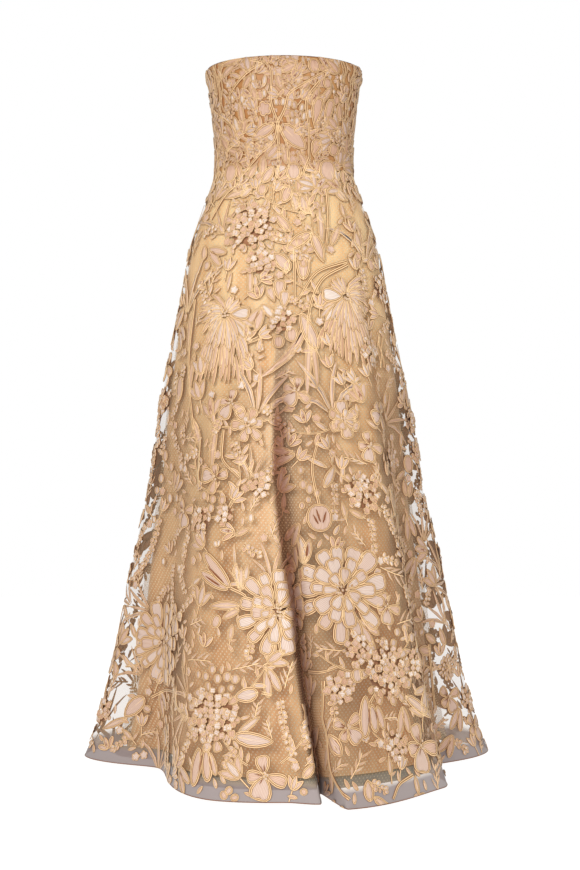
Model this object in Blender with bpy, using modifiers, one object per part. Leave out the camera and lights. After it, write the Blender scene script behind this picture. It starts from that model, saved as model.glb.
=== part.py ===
"""A strapless ball gown: embroidered sheer lace over a spotted net and a plain lining.

Metres, +Z up. The front faces -Y, and left and right are the wearer's, so left is +X.
The origin is the middle of the waist, where the wearer holds the gown up.
"""

import math
from collections import namedtuple

import bmesh
import bpy
import numpy as np
from mathutils import Matrix, Vector
from mathutils.geometry import delaunay_2d_cdt

# Heights of the gown
NECKLINE_Z = 0.171
WAIST_SEAM_Z = -0.031
HEM_Z = -1.160
NET_HEM_Z = -1.149
LINING_HEM_Z = -1.136

# Cloth walls and the gap at every seam
SEAM_GAP = 0.0003
BODICE_WALL = 0.0026
LACE_WALL = 0.0014
NET_WALL = 0.0010
LINING_WALL = 0.0010

# Half width and depths of the gown without its folds, from the neckline down
Section = namedtuple("Section", "z half_width front back")
SECTIONS = (
    Section(0.171, 0.1500, 0.112, 0.098),
    Section(0.156, 0.1500, 0.117, 0.099),
    Section(0.142, 0.1450, 0.119, 0.099),
    Section(0.110, 0.1410, 0.121, 0.098),
    Section(0.060, 0.1355, 0.111, 0.093),
    Section(0.000, 0.1326, 0.096, 0.088),
    Section(-0.031, 0.1336, 0.095, 0.090),
    Section(-0.088, 0.1530, 0.106, 0.108),
    Section(-0.175, 0.1820, 0.128, 0.136),
    Section(-0.292, 0.2040, 0.156, 0.164),
    Section(-0.468, 0.2390, 0.196, 0.204),
    Section(-0.643, 0.2670, 0.234, 0.240),
    Section(-0.819, 0.3060, 0.272, 0.278),
    Section(-0.994, 0.3410, 0.313, 0.318),
    Section(-1.111, 0.3740, 0.343, 0.350),
    Section(-1.160, 0.3950, 0.355, 0.362),
)
SECTION_DROPS = np.array([NECKLINE_Z - row.z for row in SECTIONS])

# Crests and troughs of the skirt's flares, round from the right side by the front.
# Angles are degrees from the front towards the left side, and hem_share is the radius
# at the hem as a share of the section without folds.
Fold = namedtuple("Fold", "name hip_angle hem_angle hem_share start_z")
FOLDS = (
    Fold("right flare", -90.0, -91.0, 0.985, -0.20),
    Fold("right trough", -64.0, -66.0, 0.655, -0.24),
    Fold("front right", -24.0, -19.0, 0.945, -0.30),
    Fold("front dip", -14.0, 1.0, 0.932, -0.34),
    Fold("fold lip", -7.0, 10.4, 0.972, -0.34),
    Fold("centre trough", -1.0, 13.2, 0.790, -0.34),
    Fold("fold return", 6.0, 16.4, 1.080, -0.34),
    Fold("front left", 46.0, 50.0, 0.980, -0.22),
    Fold("left trough", 64.0, 70.0, 0.720, -0.22),
    Fold("left flare", 90.0, 98.0, 1.035, -0.20),
    Fold("back left trough", 116.0, 121.0, 0.800, -0.28),
    Fold("back left", 140.0, 143.0, 0.985, -0.28),
    Fold("back left dip", 160.0, 161.0, 0.860, -0.34),
    Fold("back centre", 180.0, 180.0, 1.030, -0.34),
    Fold("back right dip", 201.0, 199.0, 0.840, -0.34),
    Fold("back right", 222.0, 219.0, 1.000, -0.28),
    Fold("back right trough", 244.0, 243.0, 0.760, -0.28),
)
FULL_TURN = 360.0
FRONT = -1
BACK = 1
RIGHT_SIDE = 0
LEFT_SIDE = 9
CENTRE_BACK = 13
FOLD_GROWTH = 1.15
DRIFT_START_Z = -0.60

# How each layer lies inside the lace: its gap at the waist and at the hem, and how much
# slimmer its own section is at the hem
Layer = namedtuple("Layer", "waist_gap hem_gap slimness")
LACE = Layer(0.0, 0.0, 0.0)
NET = Layer(0.00180, 0.012, 0.165)
LINING = Layer(0.00320, 0.022, 0.213)
SLIM_START_Z = -0.12
LAYER_SOFTNESS = 0.010

# Divisions of the cloth
SEGMENTS_BETWEEN_FOLDS = 3
SKIRT_ROWS = 12
ROW_SPREAD = 1.4
CLOSE_ROWS = 4
BODICE_COLUMN_ANGLE = 15.0
BODICE_ROWS_Z = (0.171, 0.164, 0.156, 0.149, 0.142, 0.110, 0.078, 0.045, 0.010)

# Raised embroidery. A flower has its lobes' tips, the notches between them as a share of
# the tips' reach, how much further it reaches downwards, and how far it stands out.
Flower = namedtuple("Flower", "lobes notch droop rise")
FLOWERS = {
    "dahlia": Flower(10, 0.84, 0.00, 0.0048),
    "chrysanthemum": Flower(9, 0.54, 0.75, 0.0044),
    "hydrangea": Flower(7, 0.84, 0.00, 0.0070),
    "blossom": Flower(5, 0.62, 0.00, 0.0042),
}
LEAF_WIDTH = 0.36
LEAF_POINTS = 8
LEAF_RISE = 0.0038
EDGE_RISE = 0.0012
FACE_SHARE = 0.90
HEART_SHARE = 0.28
HEART_RISE = 1.35
HEART_POINTS = 5
FLAT_WELD = 0.0002

# Motifs of the front: how far each lies across to the wearer's left of the centre front,
# its height, its reach or half length, and its turn in degrees against the clock
Motif = namedtuple("Motif", "kind across z size turn")
SKIRT_FRONT_MOTIFS = (
    Motif("hydrangea", -0.066, -0.150, 0.046, 10),
    Motif("blossom", 0.032, -0.200, 0.028, 20),
    Motif("leaf", 0.078, -0.130, 0.040, -30),
    Motif("chrysanthemum", -0.102, -0.312, 0.052, 4),
    Motif("hydrangea", 0.000, -0.325, 0.024, 0),
    Motif("chrysanthemum", 0.116, -0.285, 0.048, -6),
    Motif("leaf", 0.048, -0.350, 0.052, 18),
    Motif("leaf", -0.030, -0.400, 0.050, -14),
    Motif("leaf", 0.060, -0.455, 0.046, 20),
    Motif("blossom", 0.122, -0.504, 0.040, 10),
    Motif("blossom", -0.070, -0.518, 0.034, 40),
    Motif("leaf", -0.140, -0.500, 0.055, 24),
    Motif("hydrangea", -0.190, -0.438, 0.028, 0),
    Motif("hydrangea", -0.048, -0.606, 0.027, 0),
    Motif("leaf", 0.052, -0.600, 0.036, 38),
    Motif("hydrangea", 0.136, -0.612, 0.030, 20),
    Motif("hydrangea", -0.110, -0.676, 0.032, 30),
    Motif("leaf", 0.190, -0.690, 0.038, 30),
    Motif("dahlia", 0.114, -0.814, 0.078, 6),
    Motif("dahlia", -0.016, -0.846, 0.054, 14),
    Motif("leaf", -0.132, -0.872, 0.040, -40),
    Motif("dahlia", -0.222, -0.930, 0.054, 0),
    Motif("hydrangea", 0.190, -0.956, 0.050, 0),
    Motif("hydrangea", -0.122, -0.998, 0.048, 15),
    Motif("leaf", -0.050, -0.972, 0.038, 24),
    Motif("leaf", 0.122, -1.052, 0.044, 20),
    Motif("leaf", 0.252, -1.010, 0.040, -28),
    Motif("blossom", -0.030, -1.112, 0.034, 0),
    Motif("blossom", 0.226, -1.092, 0.034, 30),
    Motif("leaf", -0.130, -1.100, 0.036, 62),
    Motif("blossom", 0.110, -1.124, 0.024, 12),
    Motif("leaf", -0.214, -1.040, 0.044, 24),
)
# Motifs of the back, across to the wearer's left of the centre back
SKIRT_BACK_MOTIFS = (
    Motif("hydrangea", 0.092, -0.205, 0.040, 0),
    Motif("blossom", -0.092, -0.205, 0.032, 20),
    Motif("chrysanthemum", -0.084, -0.335, 0.050, 5),
    Motif("leaf", 0.052, -0.330, 0.050, -16),
    Motif("leaf", 0.140, -0.330, 0.044, 18),
    Motif("chrysanthemum", 0.096, -0.478, 0.050, -5),
    Motif("blossom", -0.060, -0.500, 0.034, 30),
    Motif("leaf", -0.140, -0.520, 0.046, 22),
    Motif("hydrangea", -0.196, -0.560, 0.030, 0),
    Motif("hydrangea", 0.186, -0.560, 0.030, 0),
    Motif("blossom", 0.060, -0.650, 0.038, 0),
    Motif("hydrangea", -0.090, -0.650, 0.034, 20),
    Motif("leaf", -0.170, -0.700, 0.042, 18),
    Motif("dahlia", -0.110, -0.824, 0.068, 0),
    Motif("dahlia", 0.096, -0.836, 0.058, 10),
    Motif("dahlia", 0.222, -0.965, 0.052, 0),
    Motif("hydrangea", -0.222, -0.940, 0.046, 0),
    Motif("hydrangea", 0.110, -0.988, 0.044, 0),
    Motif("leaf", -0.080, -0.972, 0.040, -24),
    Motif("leaf", 0.044, -1.050, 0.038, 24),
    Motif("blossom", -0.110, -1.082, 0.036, 12),
    Motif("blossom", 0.150, -1.104, 0.034, 24),
)
BODICE_FRONT_MOTIFS = (
    Motif("leaf", -0.030, 0.060, 0.030, 28),
    Motif("leaf", 0.020, 0.056, 0.030, -24),
    Motif("blossom", -0.024, 0.104, 0.020, 0),
    Motif("blossom", 0.030, 0.110, 0.020, 24),
    Motif("leaf", -0.076, 0.094, 0.030, -30),
    Motif("leaf", 0.078, 0.090, 0.030, 30),
    Motif("blossom", -0.092, 0.030, 0.022, 10),
    Motif("blossom", 0.088, 0.028, 0.022, 40),
    Motif("leaf", -0.056, 0.008, 0.028, 24),
    Motif("leaf", 0.046, 0.002, 0.028, -30),
    Motif("leaf", -0.004, -0.001, 0.022, 0),
)
BODICE_BACK_MOTIFS = (
    Motif("leaf", 0.040, 0.084, 0.030, -28),
    Motif("leaf", -0.040, 0.084, 0.030, 28),
    Motif("blossom", 0.080, 0.098, 0.022, 0),
    Motif("blossom", -0.080, 0.098, 0.022, 30),
    Motif("leaf", 0.086, 0.034, 0.028, 28),
    Motif("leaf", -0.086, 0.034, 0.028, -28),
    Motif("blossom", 0.040, 0.020, 0.020, 20),
    Motif("blossom", -0.040, 0.020, 0.020, 0),
)

# Zip at the centre back
ZIP_TOP_Z = 0.166
ZIP_BOTTOM_Z = -0.165
TAPE_WIDTH = 0.011
TAPE_WALL = 0.0010
TAPE_GAP = 0.0012
TAPE_COLUMNS = 2
TAPE_ROWS = 11
SLIDER_Z = 0.149
SLIDER_WIDTH = 0.0080
SLIDER_HEIGHT = 0.0110
SLIDER_DEPTH = 0.0022
EAR_THICKNESS = 0.0010
EAR_HEIGHT = 0.0036
PIN_RADIUS = 0.0006
PIN_STANDOFF = 0.0020
BORE_RADIUS = 0.0009
BARREL_RADIUS = 0.0016
BARREL_LENGTH = 0.0032
PULL_LENGTH = 0.0240
PULL_THICKNESS = 0.0010
PULL_NECK_WIDTH = 0.0026
PULL_END_WIDTH = 0.0074
SMALL_BEVEL = 0.0003
ROUND_SIDES = 16

# Colour, roughness and metallic value of each finish
Finish = namedtuple("Finish", "name colour roughness metallic")
LACE_FINISH = Finish("embroidered_lace", (0.80, 0.58, 0.38), 0.62, 0.0)
NET_FINISH = Finish("spotted_net", (0.66, 0.48, 0.30), 0.70, 0.0)
LINING_FINISH = Finish("satin_lining", (0.78, 0.57, 0.34), 0.45, 0.0)
TAPE_FINISH = Finish("zip_tape", (0.62, 0.46, 0.30), 0.75, 0.0)
METAL_FINISH = Finish("brass_zip_metal", (0.72, 0.55, 0.30), 0.35, 1.0)


def smooth_curve(knots, values, at):
    """A smooth curve through the values that never overshoots them."""
    widths = np.diff(knots)
    rises = np.diff(values) / widths
    product = rises[:-1] * rises[1:]
    total = rises[:-1] + rises[1:]
    slopes = np.empty(len(knots))
    slopes[1:-1] = np.where(product > 0, 2 * product / np.where(total == 0, 1, total), 0)
    slopes[0] = rises[0]
    slopes[-1] = rises[-1]
    cell = np.clip(np.searchsorted(knots, at, side="right") - 1, 0, len(widths) - 1)
    width = widths[cell]
    part = (at - knots[cell]) / width
    rest = 1 - part
    start = values[cell] * (1 + 2 * part) * rest**2
    end = values[cell + 1] * part**2 * (1 + 2 * rest)
    lean = width * part * rest * (slopes[cell] * rest - slopes[cell + 1] * part)
    return start + end + lean


def section_column(name):
    """One column of the section table as an array."""
    return np.array([getattr(row, name) for row in SECTIONS])


def plain_radius(angle, z):
    """Radius without folds: a front and a back half ellipse that share their width."""
    drop = NECKLINE_Z - z
    half_width = smooth_curve(SECTION_DROPS, section_column("half_width"), drop)
    front = smooth_curve(SECTION_DROPS, section_column("front"), drop)
    back = smooth_curve(SECTION_DROPS, section_column("back"), drop)
    radians = np.radians(angle)
    depth = np.where(np.cos(radians) > 0, front, back)
    return 1 / np.hypot(np.sin(radians) / half_width, np.cos(radians) / depth)


def fold_column(name, index):
    """One column of the fold table, read round and round by index."""
    column = np.array([getattr(row, name) for row in FOLDS])
    return column[index % len(FOLDS)]


def fold_angle(index, z):
    """Angle of a crest or trough, which drifts sideways in the lower skirt."""
    drift = np.clip((DRIFT_START_Z - z) / (DRIFT_START_Z - HEM_Z), 0, 1)
    hip = fold_column("hip_angle", index)
    hem = fold_column("hem_angle", index)
    return hip + (hem - hip) * drift + FULL_TURN * (index // len(FOLDS))


def fold_share(index, z):
    """Share of the plain radius at a crest or trough, which grows towards the hem."""
    start = fold_column("start_z", index)
    growth = np.clip((start - z) / (start - HEM_Z), 0, 1) ** FOLD_GROWTH
    return 1 + (fold_column("hem_share", index) - 1) * growth


def cloth_point(position, z, layer):
    """Point of a layer's outer face, at a position counted in folds round the gown."""
    position, z = np.broadcast_arrays(np.asarray(position, float), np.asarray(z, float))
    index = np.floor(position).astype(int)
    part = position - index
    eased = part * part * (3 - 2 * part)
    angle = fold_angle(index, z) * (1 - part) + fold_angle(index + 1, z) * part
    share = fold_share(index, z) * (1 - eased) + fold_share(index + 1, z) * eased
    plain = plain_radius(angle, z)
    radius = plain * share
    if layer.slimness:
        fullness = np.clip((SLIM_START_Z - z) / (SLIM_START_Z - HEM_Z), 0, 1)
        gap = layer.waist_gap + (layer.hem_gap - layer.waist_gap) * fullness
        hung = radius - gap
        own = plain * (1 - layer.slimness * fullness)
        softness = LAYER_SOFTNESS * fullness
        radius = (hung + own - np.hypot(hung - own, softness)) / 2
    radians = np.radians(angle)
    return np.stack([radius * np.sin(radians), -radius * np.cos(radians), z], axis=-1)


def cloth_normal(position, z, layer):
    """Outward unit normal of a layer's outer face."""
    step = 1e-4
    around = cloth_point(position + step, z, layer) - cloth_point(position - step, z, layer)
    upward = cloth_point(position, z + step, layer) - cloth_point(position, z - step, layer)
    normal = np.cross(around, upward)
    return normal / np.linalg.norm(normal, axis=-1, keepdims=True)


def position_of_angle(angle):
    """Position round the gown, counted in folds, of an angle above the flares."""
    index = np.arange(len(FOLDS) + 1)
    return np.interp(angle, fold_angle(index, NECKLINE_Z), index)


class Panel:
    """A panel of cloth between two positions round the gown, in columns and rows."""

    TRACK_POINTS = 240

    def __init__(self, layer, columns, rows):
        self.layer = layer
        self.columns = np.asarray(columns, float)
        self.rows = np.asarray(rows, float)
        self.track = np.linspace(self.columns[0], self.columns[-1], self.TRACK_POINTS)

    def row_points(self, z):
        """Points along the row at z, from one edge of the panel to the other."""
        return cloth_point(self.track, z, self.layer)

    def unrolled(self, position, z):
        """Distance of a position from the middle of its row, along the cloth."""
        steps = np.linalg.norm(np.diff(self.row_points(z), axis=0), axis=1)
        lengths = np.concatenate([[0.0], np.cumsum(steps)])
        return np.interp(position, self.track, lengths) - lengths[-1] / 2

    def position_across(self, across, z, side):
        """The position whose x is across, on the front or the back side of the gown."""
        points = self.row_points(z)
        misses = np.abs(points[:, 0] - across)
        misses[points[:, 1] * side < 0] = np.inf
        return self.track[np.argmin(misses)]

    def grid_triangles(self):
        """Index triples of the grid's triangles, two to a cell."""
        rows, columns = len(self.rows), len(self.columns)
        grid = np.arange(rows * columns).reshape(rows, columns)
        top_left, top_right = grid[:-1, :-1].ravel(), grid[:-1, 1:].ravel()
        low_left, low_right = grid[1:, :-1].ravel(), grid[1:, 1:].ravel()
        lower = np.stack([top_left, low_left, low_right], axis=1)
        upper = np.stack([top_left, low_right, top_right], axis=1)
        return np.concatenate([lower, upper])

    def border(self):
        """Indices of the grid's border, as one closed round against the clock."""
        rows, columns = len(self.rows), len(self.columns)
        grid = np.arange(rows * columns).reshape(rows, columns)
        sides = (grid[:-1, 0], grid[-1, :-1], grid[:0:-1, -1], grid[0, :0:-1])
        return np.concatenate(sides)

    def grid_points(self):
        """The outer face's grid, parted from its neighbours by half a seam gap, with
        its normals."""
        position, z = np.meshgrid(self.columns, self.rows)
        points = cloth_point(position, z, self.layer)
        normals = cloth_normal(position, z, self.layer)
        sideways = np.cross([0.0, 0.0, 1.0], normals)
        sideways /= np.linalg.norm(sideways, axis=-1, keepdims=True)
        points[:, 0] += sideways[:, 0] * SEAM_GAP / 2
        points[:, -1] -= sideways[:, -1] * SEAM_GAP / 2
        return points.reshape(-1, 3), normals.reshape(-1, 3)


def flower_loops(flower, size):
    """Closed loops of a flower from its edge inwards, each with how far it stands out."""
    turns = np.pi * np.arange(2 * flower.lobes) / flower.lobes
    reach = np.where(np.arange(len(turns)) % 2 == 0, 1.0, flower.notch)
    reach = reach * (1 + flower.droop * np.clip(-np.cos(turns), 0, 1))
    edge = size * reach[:, None] * np.stack([np.sin(turns), np.cos(turns)], axis=1)
    heart_turns = 2 * np.pi * np.arange(HEART_POINTS) / HEART_POINTS
    heart = np.stack([np.sin(heart_turns), np.cos(heart_turns)], axis=1)
    return (
        (edge, EDGE_RISE, True),
        (edge * FACE_SHARE, flower.rise, True),
        (heart * size * HEART_SHARE, flower.rise * HEART_RISE, True),
    )


def leaf_loops(size):
    """The pointed edge of a leaf, and its raised midrib."""
    turns = 2 * np.pi * np.arange(LEAF_POINTS) / LEAF_POINTS
    edge = np.stack([LEAF_WIDTH * np.sin(turns), np.cos(turns)], axis=1) * size
    midrib = np.array([(0.0, 0.6), (0.0, 0.0), (0.0, -0.6)]) * size
    return ((edge, EDGE_RISE, True), (midrib, LEAF_RISE, False))


def motif_loops(motif):
    """A motif's loops, turned to how it lies."""
    if motif.kind == "leaf":
        loops = leaf_loops(motif.size)
    else:
        loops = flower_loops(FLOWERS[motif.kind], motif.size)
    turn = math.radians(motif.turn)
    turned = np.array([[math.cos(turn), math.sin(turn)], [-math.sin(turn), math.cos(turn)]])
    return [(points @ turned, rise, closed) for points, rise, closed in loops]


def inside(points, loop):
    """Whether each flat point lies inside a closed loop."""
    following = np.roll(loop, -1, axis=0)
    x, y = points[:, :1], points[:, 1:]
    crosses = (loop[:, 1] > y) != (following[:, 1] > y)
    heights = np.where(following[:, 1] == loop[:, 1], 1, following[:, 1] - loop[:, 1])
    at = loop[:, 0] + (y - loop[:, 1]) * (following[:, 0] - loop[:, 0]) / heights
    return np.sum(crosses & (x < at), axis=1) % 2 == 1


def distance_to_segments(point, starts, ends):
    """Distance of a flat point from each segment."""
    along = ends - starts
    share = np.sum((point - starts) * along, axis=1) / np.sum(along * along, axis=1)
    nearest = starts + np.clip(share, 0, 1)[:, None] * along
    return np.linalg.norm(point - nearest, axis=1)


def place_motifs(panel, motifs, side):
    """The motifs' loops in the panel's flat plane."""
    placed = []
    for motif in motifs:
        middle = panel.position_across(motif.across, motif.z, side)
        for outline, rise, closed in motif_loops(motif):
            heights = motif.z + outline[:, 1]
            starts = np.array([panel.unrolled(middle, z) for z in heights])
            flat = np.stack([starts + outline[:, 0], heights], axis=1)
            placed.append((flat, rise, closed))
    return placed


def flat_weights(point, corners):
    """The triangle that holds a flat point, and the point's weights at its corners."""
    first = corners[:, 0]
    along, aside = corners[:, 1] - first, corners[:, 2] - first
    offset = point - first
    area = along[:, 0] * aside[:, 1] - along[:, 1] * aside[:, 0]
    second = (offset[:, 0] * aside[:, 1] - offset[:, 1] * aside[:, 0]) / area
    third = (along[:, 0] * offset[:, 1] - along[:, 1] * offset[:, 0]) / area
    weights = np.stack([1 - second - third, second, third], axis=1)
    holder = np.argmax(weights.min(axis=1))
    return holder, weights[holder]


def embroidered_face(panel, motifs, side):
    """The panel's outer face, its own triangles cut along every motif's outline.

    It gives the points, the grid points' numbers among them, and the triangles.
    """
    grid, normals = panel.grid_points()
    place = [(column, z) for z in panel.rows for column in panel.columns]
    flat = np.array([(panel.unrolled(column, z), z) for column, z in place])
    grid_triangles = panel.grid_triangles()
    loops = place_motifs(panel, motifs, side)
    points = [Vector(point) for point in flat]
    links = {tuple(sorted(pair)) for a, b, c in grid_triangles for pair in ((a, b), (b, c), (c, a))}
    edges = [(int(a), int(b)) for a, b in sorted(links)]
    starts, ends, rises = [], [], []
    for outline, rise, closed in loops:
        first, count = len(points), len(outline)
        points += [Vector(point) for point in outline]
        for k in range(count if closed else count - 1):
            following = (k + 1) % count
            edges.append((first + k, first + following))
            starts.append(outline[k])
            ends.append(outline[following])
            rises.append(rise)
    starts, ends, rises = np.array(starts), np.array(ends), np.array(rises)
    found = delaunay_2d_cdt(points, edges, [], 1, FLAT_WELD, True)
    flat_points = np.array([tuple(point) for point in found[0]])
    origins = found[3]
    middles = flat_points[np.array(found[2])].mean(axis=1)
    within = inside(middles, flat[panel.border()])
    triangles = [triangle for triangle, kept in zip(found[2], within) if kept]
    standing = np.zeros(len(flat_points))
    for outline, rise, closed in loops:
        if closed:
            standing = np.where(inside(flat_points, outline), rise, standing)
    for index, point in enumerate(flat_points):
        misses = distance_to_segments(point, starts, ends)
        nearest = np.argmin(misses)
        if misses[nearest] < 2 * FLAT_WELD:
            standing[index] = rises[nearest]
    corners = flat[grid_triangles]
    face_points = []
    numbers = {}
    for index, (point, origin) in enumerate(zip(flat_points, origins)):
        grid_number = min(origin, default=len(grid))
        if grid_number < len(grid):
            numbers[grid_number] = index
            spot, normal = grid[grid_number], normals[grid_number]
        else:
            holder, weights = flat_weights(point, corners)
            spot = weights @ grid[grid_triangles[holder]]
            normal = weights @ normals[grid_triangles[holder]]
        face_points.append(spot + normal * standing[index])
    return face_points, numbers, triangles


def cloth_wall(name, panel, thickness, finish, motifs=(), side=FRONT):
    """A closed wall of cloth: its outer face, the plain inner face and the cut edges."""
    grid, normals = panel.grid_points()
    if motifs:
        outer, numbers, outer_triangles = embroidered_face(panel, motifs, side)
    else:
        outer, outer_triangles = list(grid), panel.grid_triangles()
        numbers = {index: index for index in range(len(grid))}
    shape = bmesh.new()
    outer_points = [shape.verts.new(point) for point in outer]
    inner_points = [shape.verts.new(point) for point in grid - normals * thickness]
    for triangle in outer_triangles:
        shape.faces.new([outer_points[index] for index in triangle])
    for a, b, c in panel.grid_triangles():
        shape.faces.new([inner_points[index] for index in (c, b, a)])
    border = panel.border()
    for a, b in zip(border, np.roll(border, -1)):
        outer_a, outer_b = outer_points[numbers[a]], outer_points[numbers[b]]
        shape.faces.new((outer_a, inner_points[a], inner_points[b]))
        shape.faces.new((outer_a, inner_points[b], outer_b))
    bmesh.ops.recalc_face_normals(shape, faces=shape.faces)
    return finish_mesh(name, shape, finish)


def finish_mesh(name, shape, finish):
    """Turns a bmesh into a smooth-shaded object of the gown."""
    mesh = bpy.data.meshes.new(name)
    shape.to_mesh(mesh)
    shape.free()
    mesh.shade_smooth()
    mesh.materials.append(new_material(finish))
    part = bpy.data.objects.new(name, mesh)
    GOWN.objects.link(part)
    return part


def new_material(finish):
    """A material with the finish's colour, roughness and metallic value."""
    material = bpy.data.materials.get(finish.name)
    if material is None:
        material = bpy.data.materials.new(finish.name)
        material.use_nodes = True
        shader = material.node_tree.nodes["Principled BSDF"]
        shader.inputs["Base Color"].default_value = (*finish.colour, 1.0)
        shader.inputs["Roughness"].default_value = finish.roughness
        shader.inputs["Metallic"].default_value = finish.metallic
    return material


def edge_angles(first, last):
    """Bodice columns from one angle to another, as positions round the gown."""
    count = round((last - first) / BODICE_COLUMN_ANGLE)
    return position_of_angle(np.linspace(first, last, count + 1))


def skirt_columns(first, last):
    """Skirt columns between two folds."""
    return np.linspace(first, last, (last - first) * SEGMENTS_BETWEEN_FOLDS + 1)


def skirt_rows(hem, every_row):
    """Heights of the skirt's rows, closer near the waist; inner layers skip some below."""
    steps = np.arange(SKIRT_ROWS + 1)
    if not every_row:
        steps = np.concatenate([steps[:CLOSE_ROWS], steps[CLOSE_ROWS::2]])
    top = WAIST_SEAM_Z - SEAM_GAP / 2
    return top + (hem - top) * (steps / SKIRT_ROWS) ** ROW_SPREAD


PANELS = (
    ("front", (-90.0, 90.0), (RIGHT_SIDE, LEFT_SIDE), FRONT),
    ("back_left", (90.0, 180.0), (LEFT_SIDE, CENTRE_BACK), BACK),
    ("back_right", (180.0, 270.0), (CENTRE_BACK, len(FOLDS)), BACK),
)


def motifs_of(panel_name, front_motifs, back_motifs):
    """The motifs that lie on one panel."""
    if panel_name == "front":
        return front_motifs
    left = panel_name == "back_left"
    return [motif for motif in back_motifs if (motif.across > 0) == left]


def build_bodice():
    """The lace bodice and its lining."""
    rows = [*BODICE_ROWS_Z, WAIST_SEAM_Z + SEAM_GAP / 2]
    for name, angles, _, side in PANELS:
        columns = edge_angles(*angles)
        motifs = motifs_of(name, BODICE_FRONT_MOTIFS, BODICE_BACK_MOTIFS)
        lace = Panel(LACE, columns, rows)
        cloth_wall(f"bodice_{name}", lace, BODICE_WALL, LACE_FINISH, motifs, side)
        lining = Panel(LINING, columns, rows)
        cloth_wall(f"bodice_lining_{name}", lining, LINING_WALL, LINING_FINISH)


def build_skirt():
    """The skirt's three layers: lace, spotted net and lining."""
    for name, _, folds, side in PANELS:
        columns = skirt_columns(*folds)
        motifs = motifs_of(name, SKIRT_FRONT_MOTIFS, SKIRT_BACK_MOTIFS)
        lace = Panel(LACE, columns, skirt_rows(HEM_Z, every_row=True))
        cloth_wall(f"skirt_lace_{name}", lace, LACE_WALL, LACE_FINISH, motifs, side)
        net = Panel(NET, columns, skirt_rows(NET_HEM_Z, every_row=False))
        cloth_wall(f"skirt_net_{name}", net, NET_WALL, NET_FINISH)
        lining = Panel(LINING, columns, skirt_rows(LINING_HEM_Z, every_row=False))
        cloth_wall(f"skirt_lining_{name}", lining, LINING_WALL, LINING_FINISH)


def build_zip_tapes():
    """Two tapes inside the lining, one on each side of the centre back."""
    tape = Layer(LINING.waist_gap + LINING_WALL + TAPE_GAP, LINING.hem_gap, LINING.slimness)
    rows = np.linspace(ZIP_TOP_Z, ZIP_BOTTOM_Z, TAPE_ROWS)
    middle = float(CENTRE_BACK)
    round_length = Panel(tape, (middle - 1, middle), rows).unrolled(middle, 0.0) * 2
    reach = TAPE_WIDTH / round_length
    for name, first, last in (("left", -reach, 0.0), ("right", 0.0, reach)):
        columns = np.linspace(middle + first, middle + last, TAPE_COLUMNS + 1)
        cloth_wall(f"zip_tape_{name}", Panel(tape, columns, rows), TAPE_WALL, TAPE_FINISH)


def add_block(shape, size, middle):
    """A box of the given size."""
    corners = bmesh.ops.create_cube(shape, size=1.0)["verts"]
    bmesh.ops.scale(shape, verts=corners, vec=size)
    bmesh.ops.translate(shape, verts=corners, vec=middle)


def add_rod(shape, radius, length, middle):
    """A cylinder that lies along X."""
    across = Matrix.Translation(middle) @ Matrix.Rotation(math.pi / 2, 4, "Y")
    bmesh.ops.create_cone(
        shape,
        cap_ends=True,
        segments=ROUND_SIDES,
        radius1=radius,
        radius2=radius,
        depth=length,
        matrix=across,
    )


def solid_from(name, make, collection):
    """An object from one closed primitive."""
    shape = bmesh.new()
    make(shape)
    mesh = bpy.data.meshes.new(name)
    shape.to_mesh(mesh)
    shape.free()
    solid = bpy.data.objects.new(name, mesh)
    collection.objects.link(solid)
    return solid


def combine(target, name, operation, make):
    """Joins a primitive to the target, or cuts it away."""
    tool = solid_from(name, make, CUTTERS)
    tool.hide_render = True
    tool.display_type = "WIRE"
    step = target.modifiers.new(name, "BOOLEAN")
    step.operation = operation
    step.object = tool
    step.solver = "EXACT"


def build_zip_metal():
    """The slider at the centre back, and the pull that hangs from its pin."""
    surface = cloth_point(float(CENTRE_BACK), SLIDER_Z, LACE)[1]
    base_y = surface + SEAM_GAP + SLIDER_DEPTH / 2
    pin_y = surface + SEAM_GAP + SLIDER_DEPTH + PIN_STANDOFF
    ear_x = BARREL_LENGTH / 2 + SEAM_GAP + EAR_THICKNESS / 2
    ear_depth = PIN_STANDOFF + 2 * PIN_RADIUS + SLIDER_DEPTH / 2
    slider_size = (SLIDER_WIDTH, SLIDER_DEPTH, SLIDER_HEIGHT)
    slider = solid_from(
        "zip_slider", lambda shape: add_block(shape, slider_size, (0, base_y, SLIDER_Z)), GOWN
    )
    slider.data.materials.append(new_material(METAL_FINISH))
    rounding = slider.modifiers.new("rounded_edges", "BEVEL")
    rounding.width = SMALL_BEVEL
    rounding.segments = 2
    for side in (-1, 1):
        middle = (side * ear_x, base_y + ear_depth / 2, SLIDER_Z)
        size = (EAR_THICKNESS, ear_depth, EAR_HEIGHT)
        combine(
            slider,
            "slider_ear_left" if side > 0 else "slider_ear_right",
            "UNION",
            lambda shape, size=size, middle=middle: add_block(shape, size, middle),
        )
    pin_length = 2 * ear_x
    axis = (0, pin_y, SLIDER_Z)
    combine(
        slider,
        "slider_pin",
        "UNION",
        lambda shape: add_rod(shape, PIN_RADIUS, pin_length, axis),
    )
    pull = solid_from("zip_pull", lambda shape: add_pull_plate(shape, axis), GOWN)
    pull.data.materials.append(new_material(METAL_FINISH))
    combine(
        pull,
        "pull_barrel",
        "UNION",
        lambda shape: add_rod(shape, BARREL_RADIUS, BARREL_LENGTH, axis),
    )
    combine(
        pull,
        "pull_bore",
        "DIFFERENCE",
        lambda shape: add_rod(shape, BORE_RADIUS, 2 * BARREL_LENGTH, axis),
    )


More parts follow.
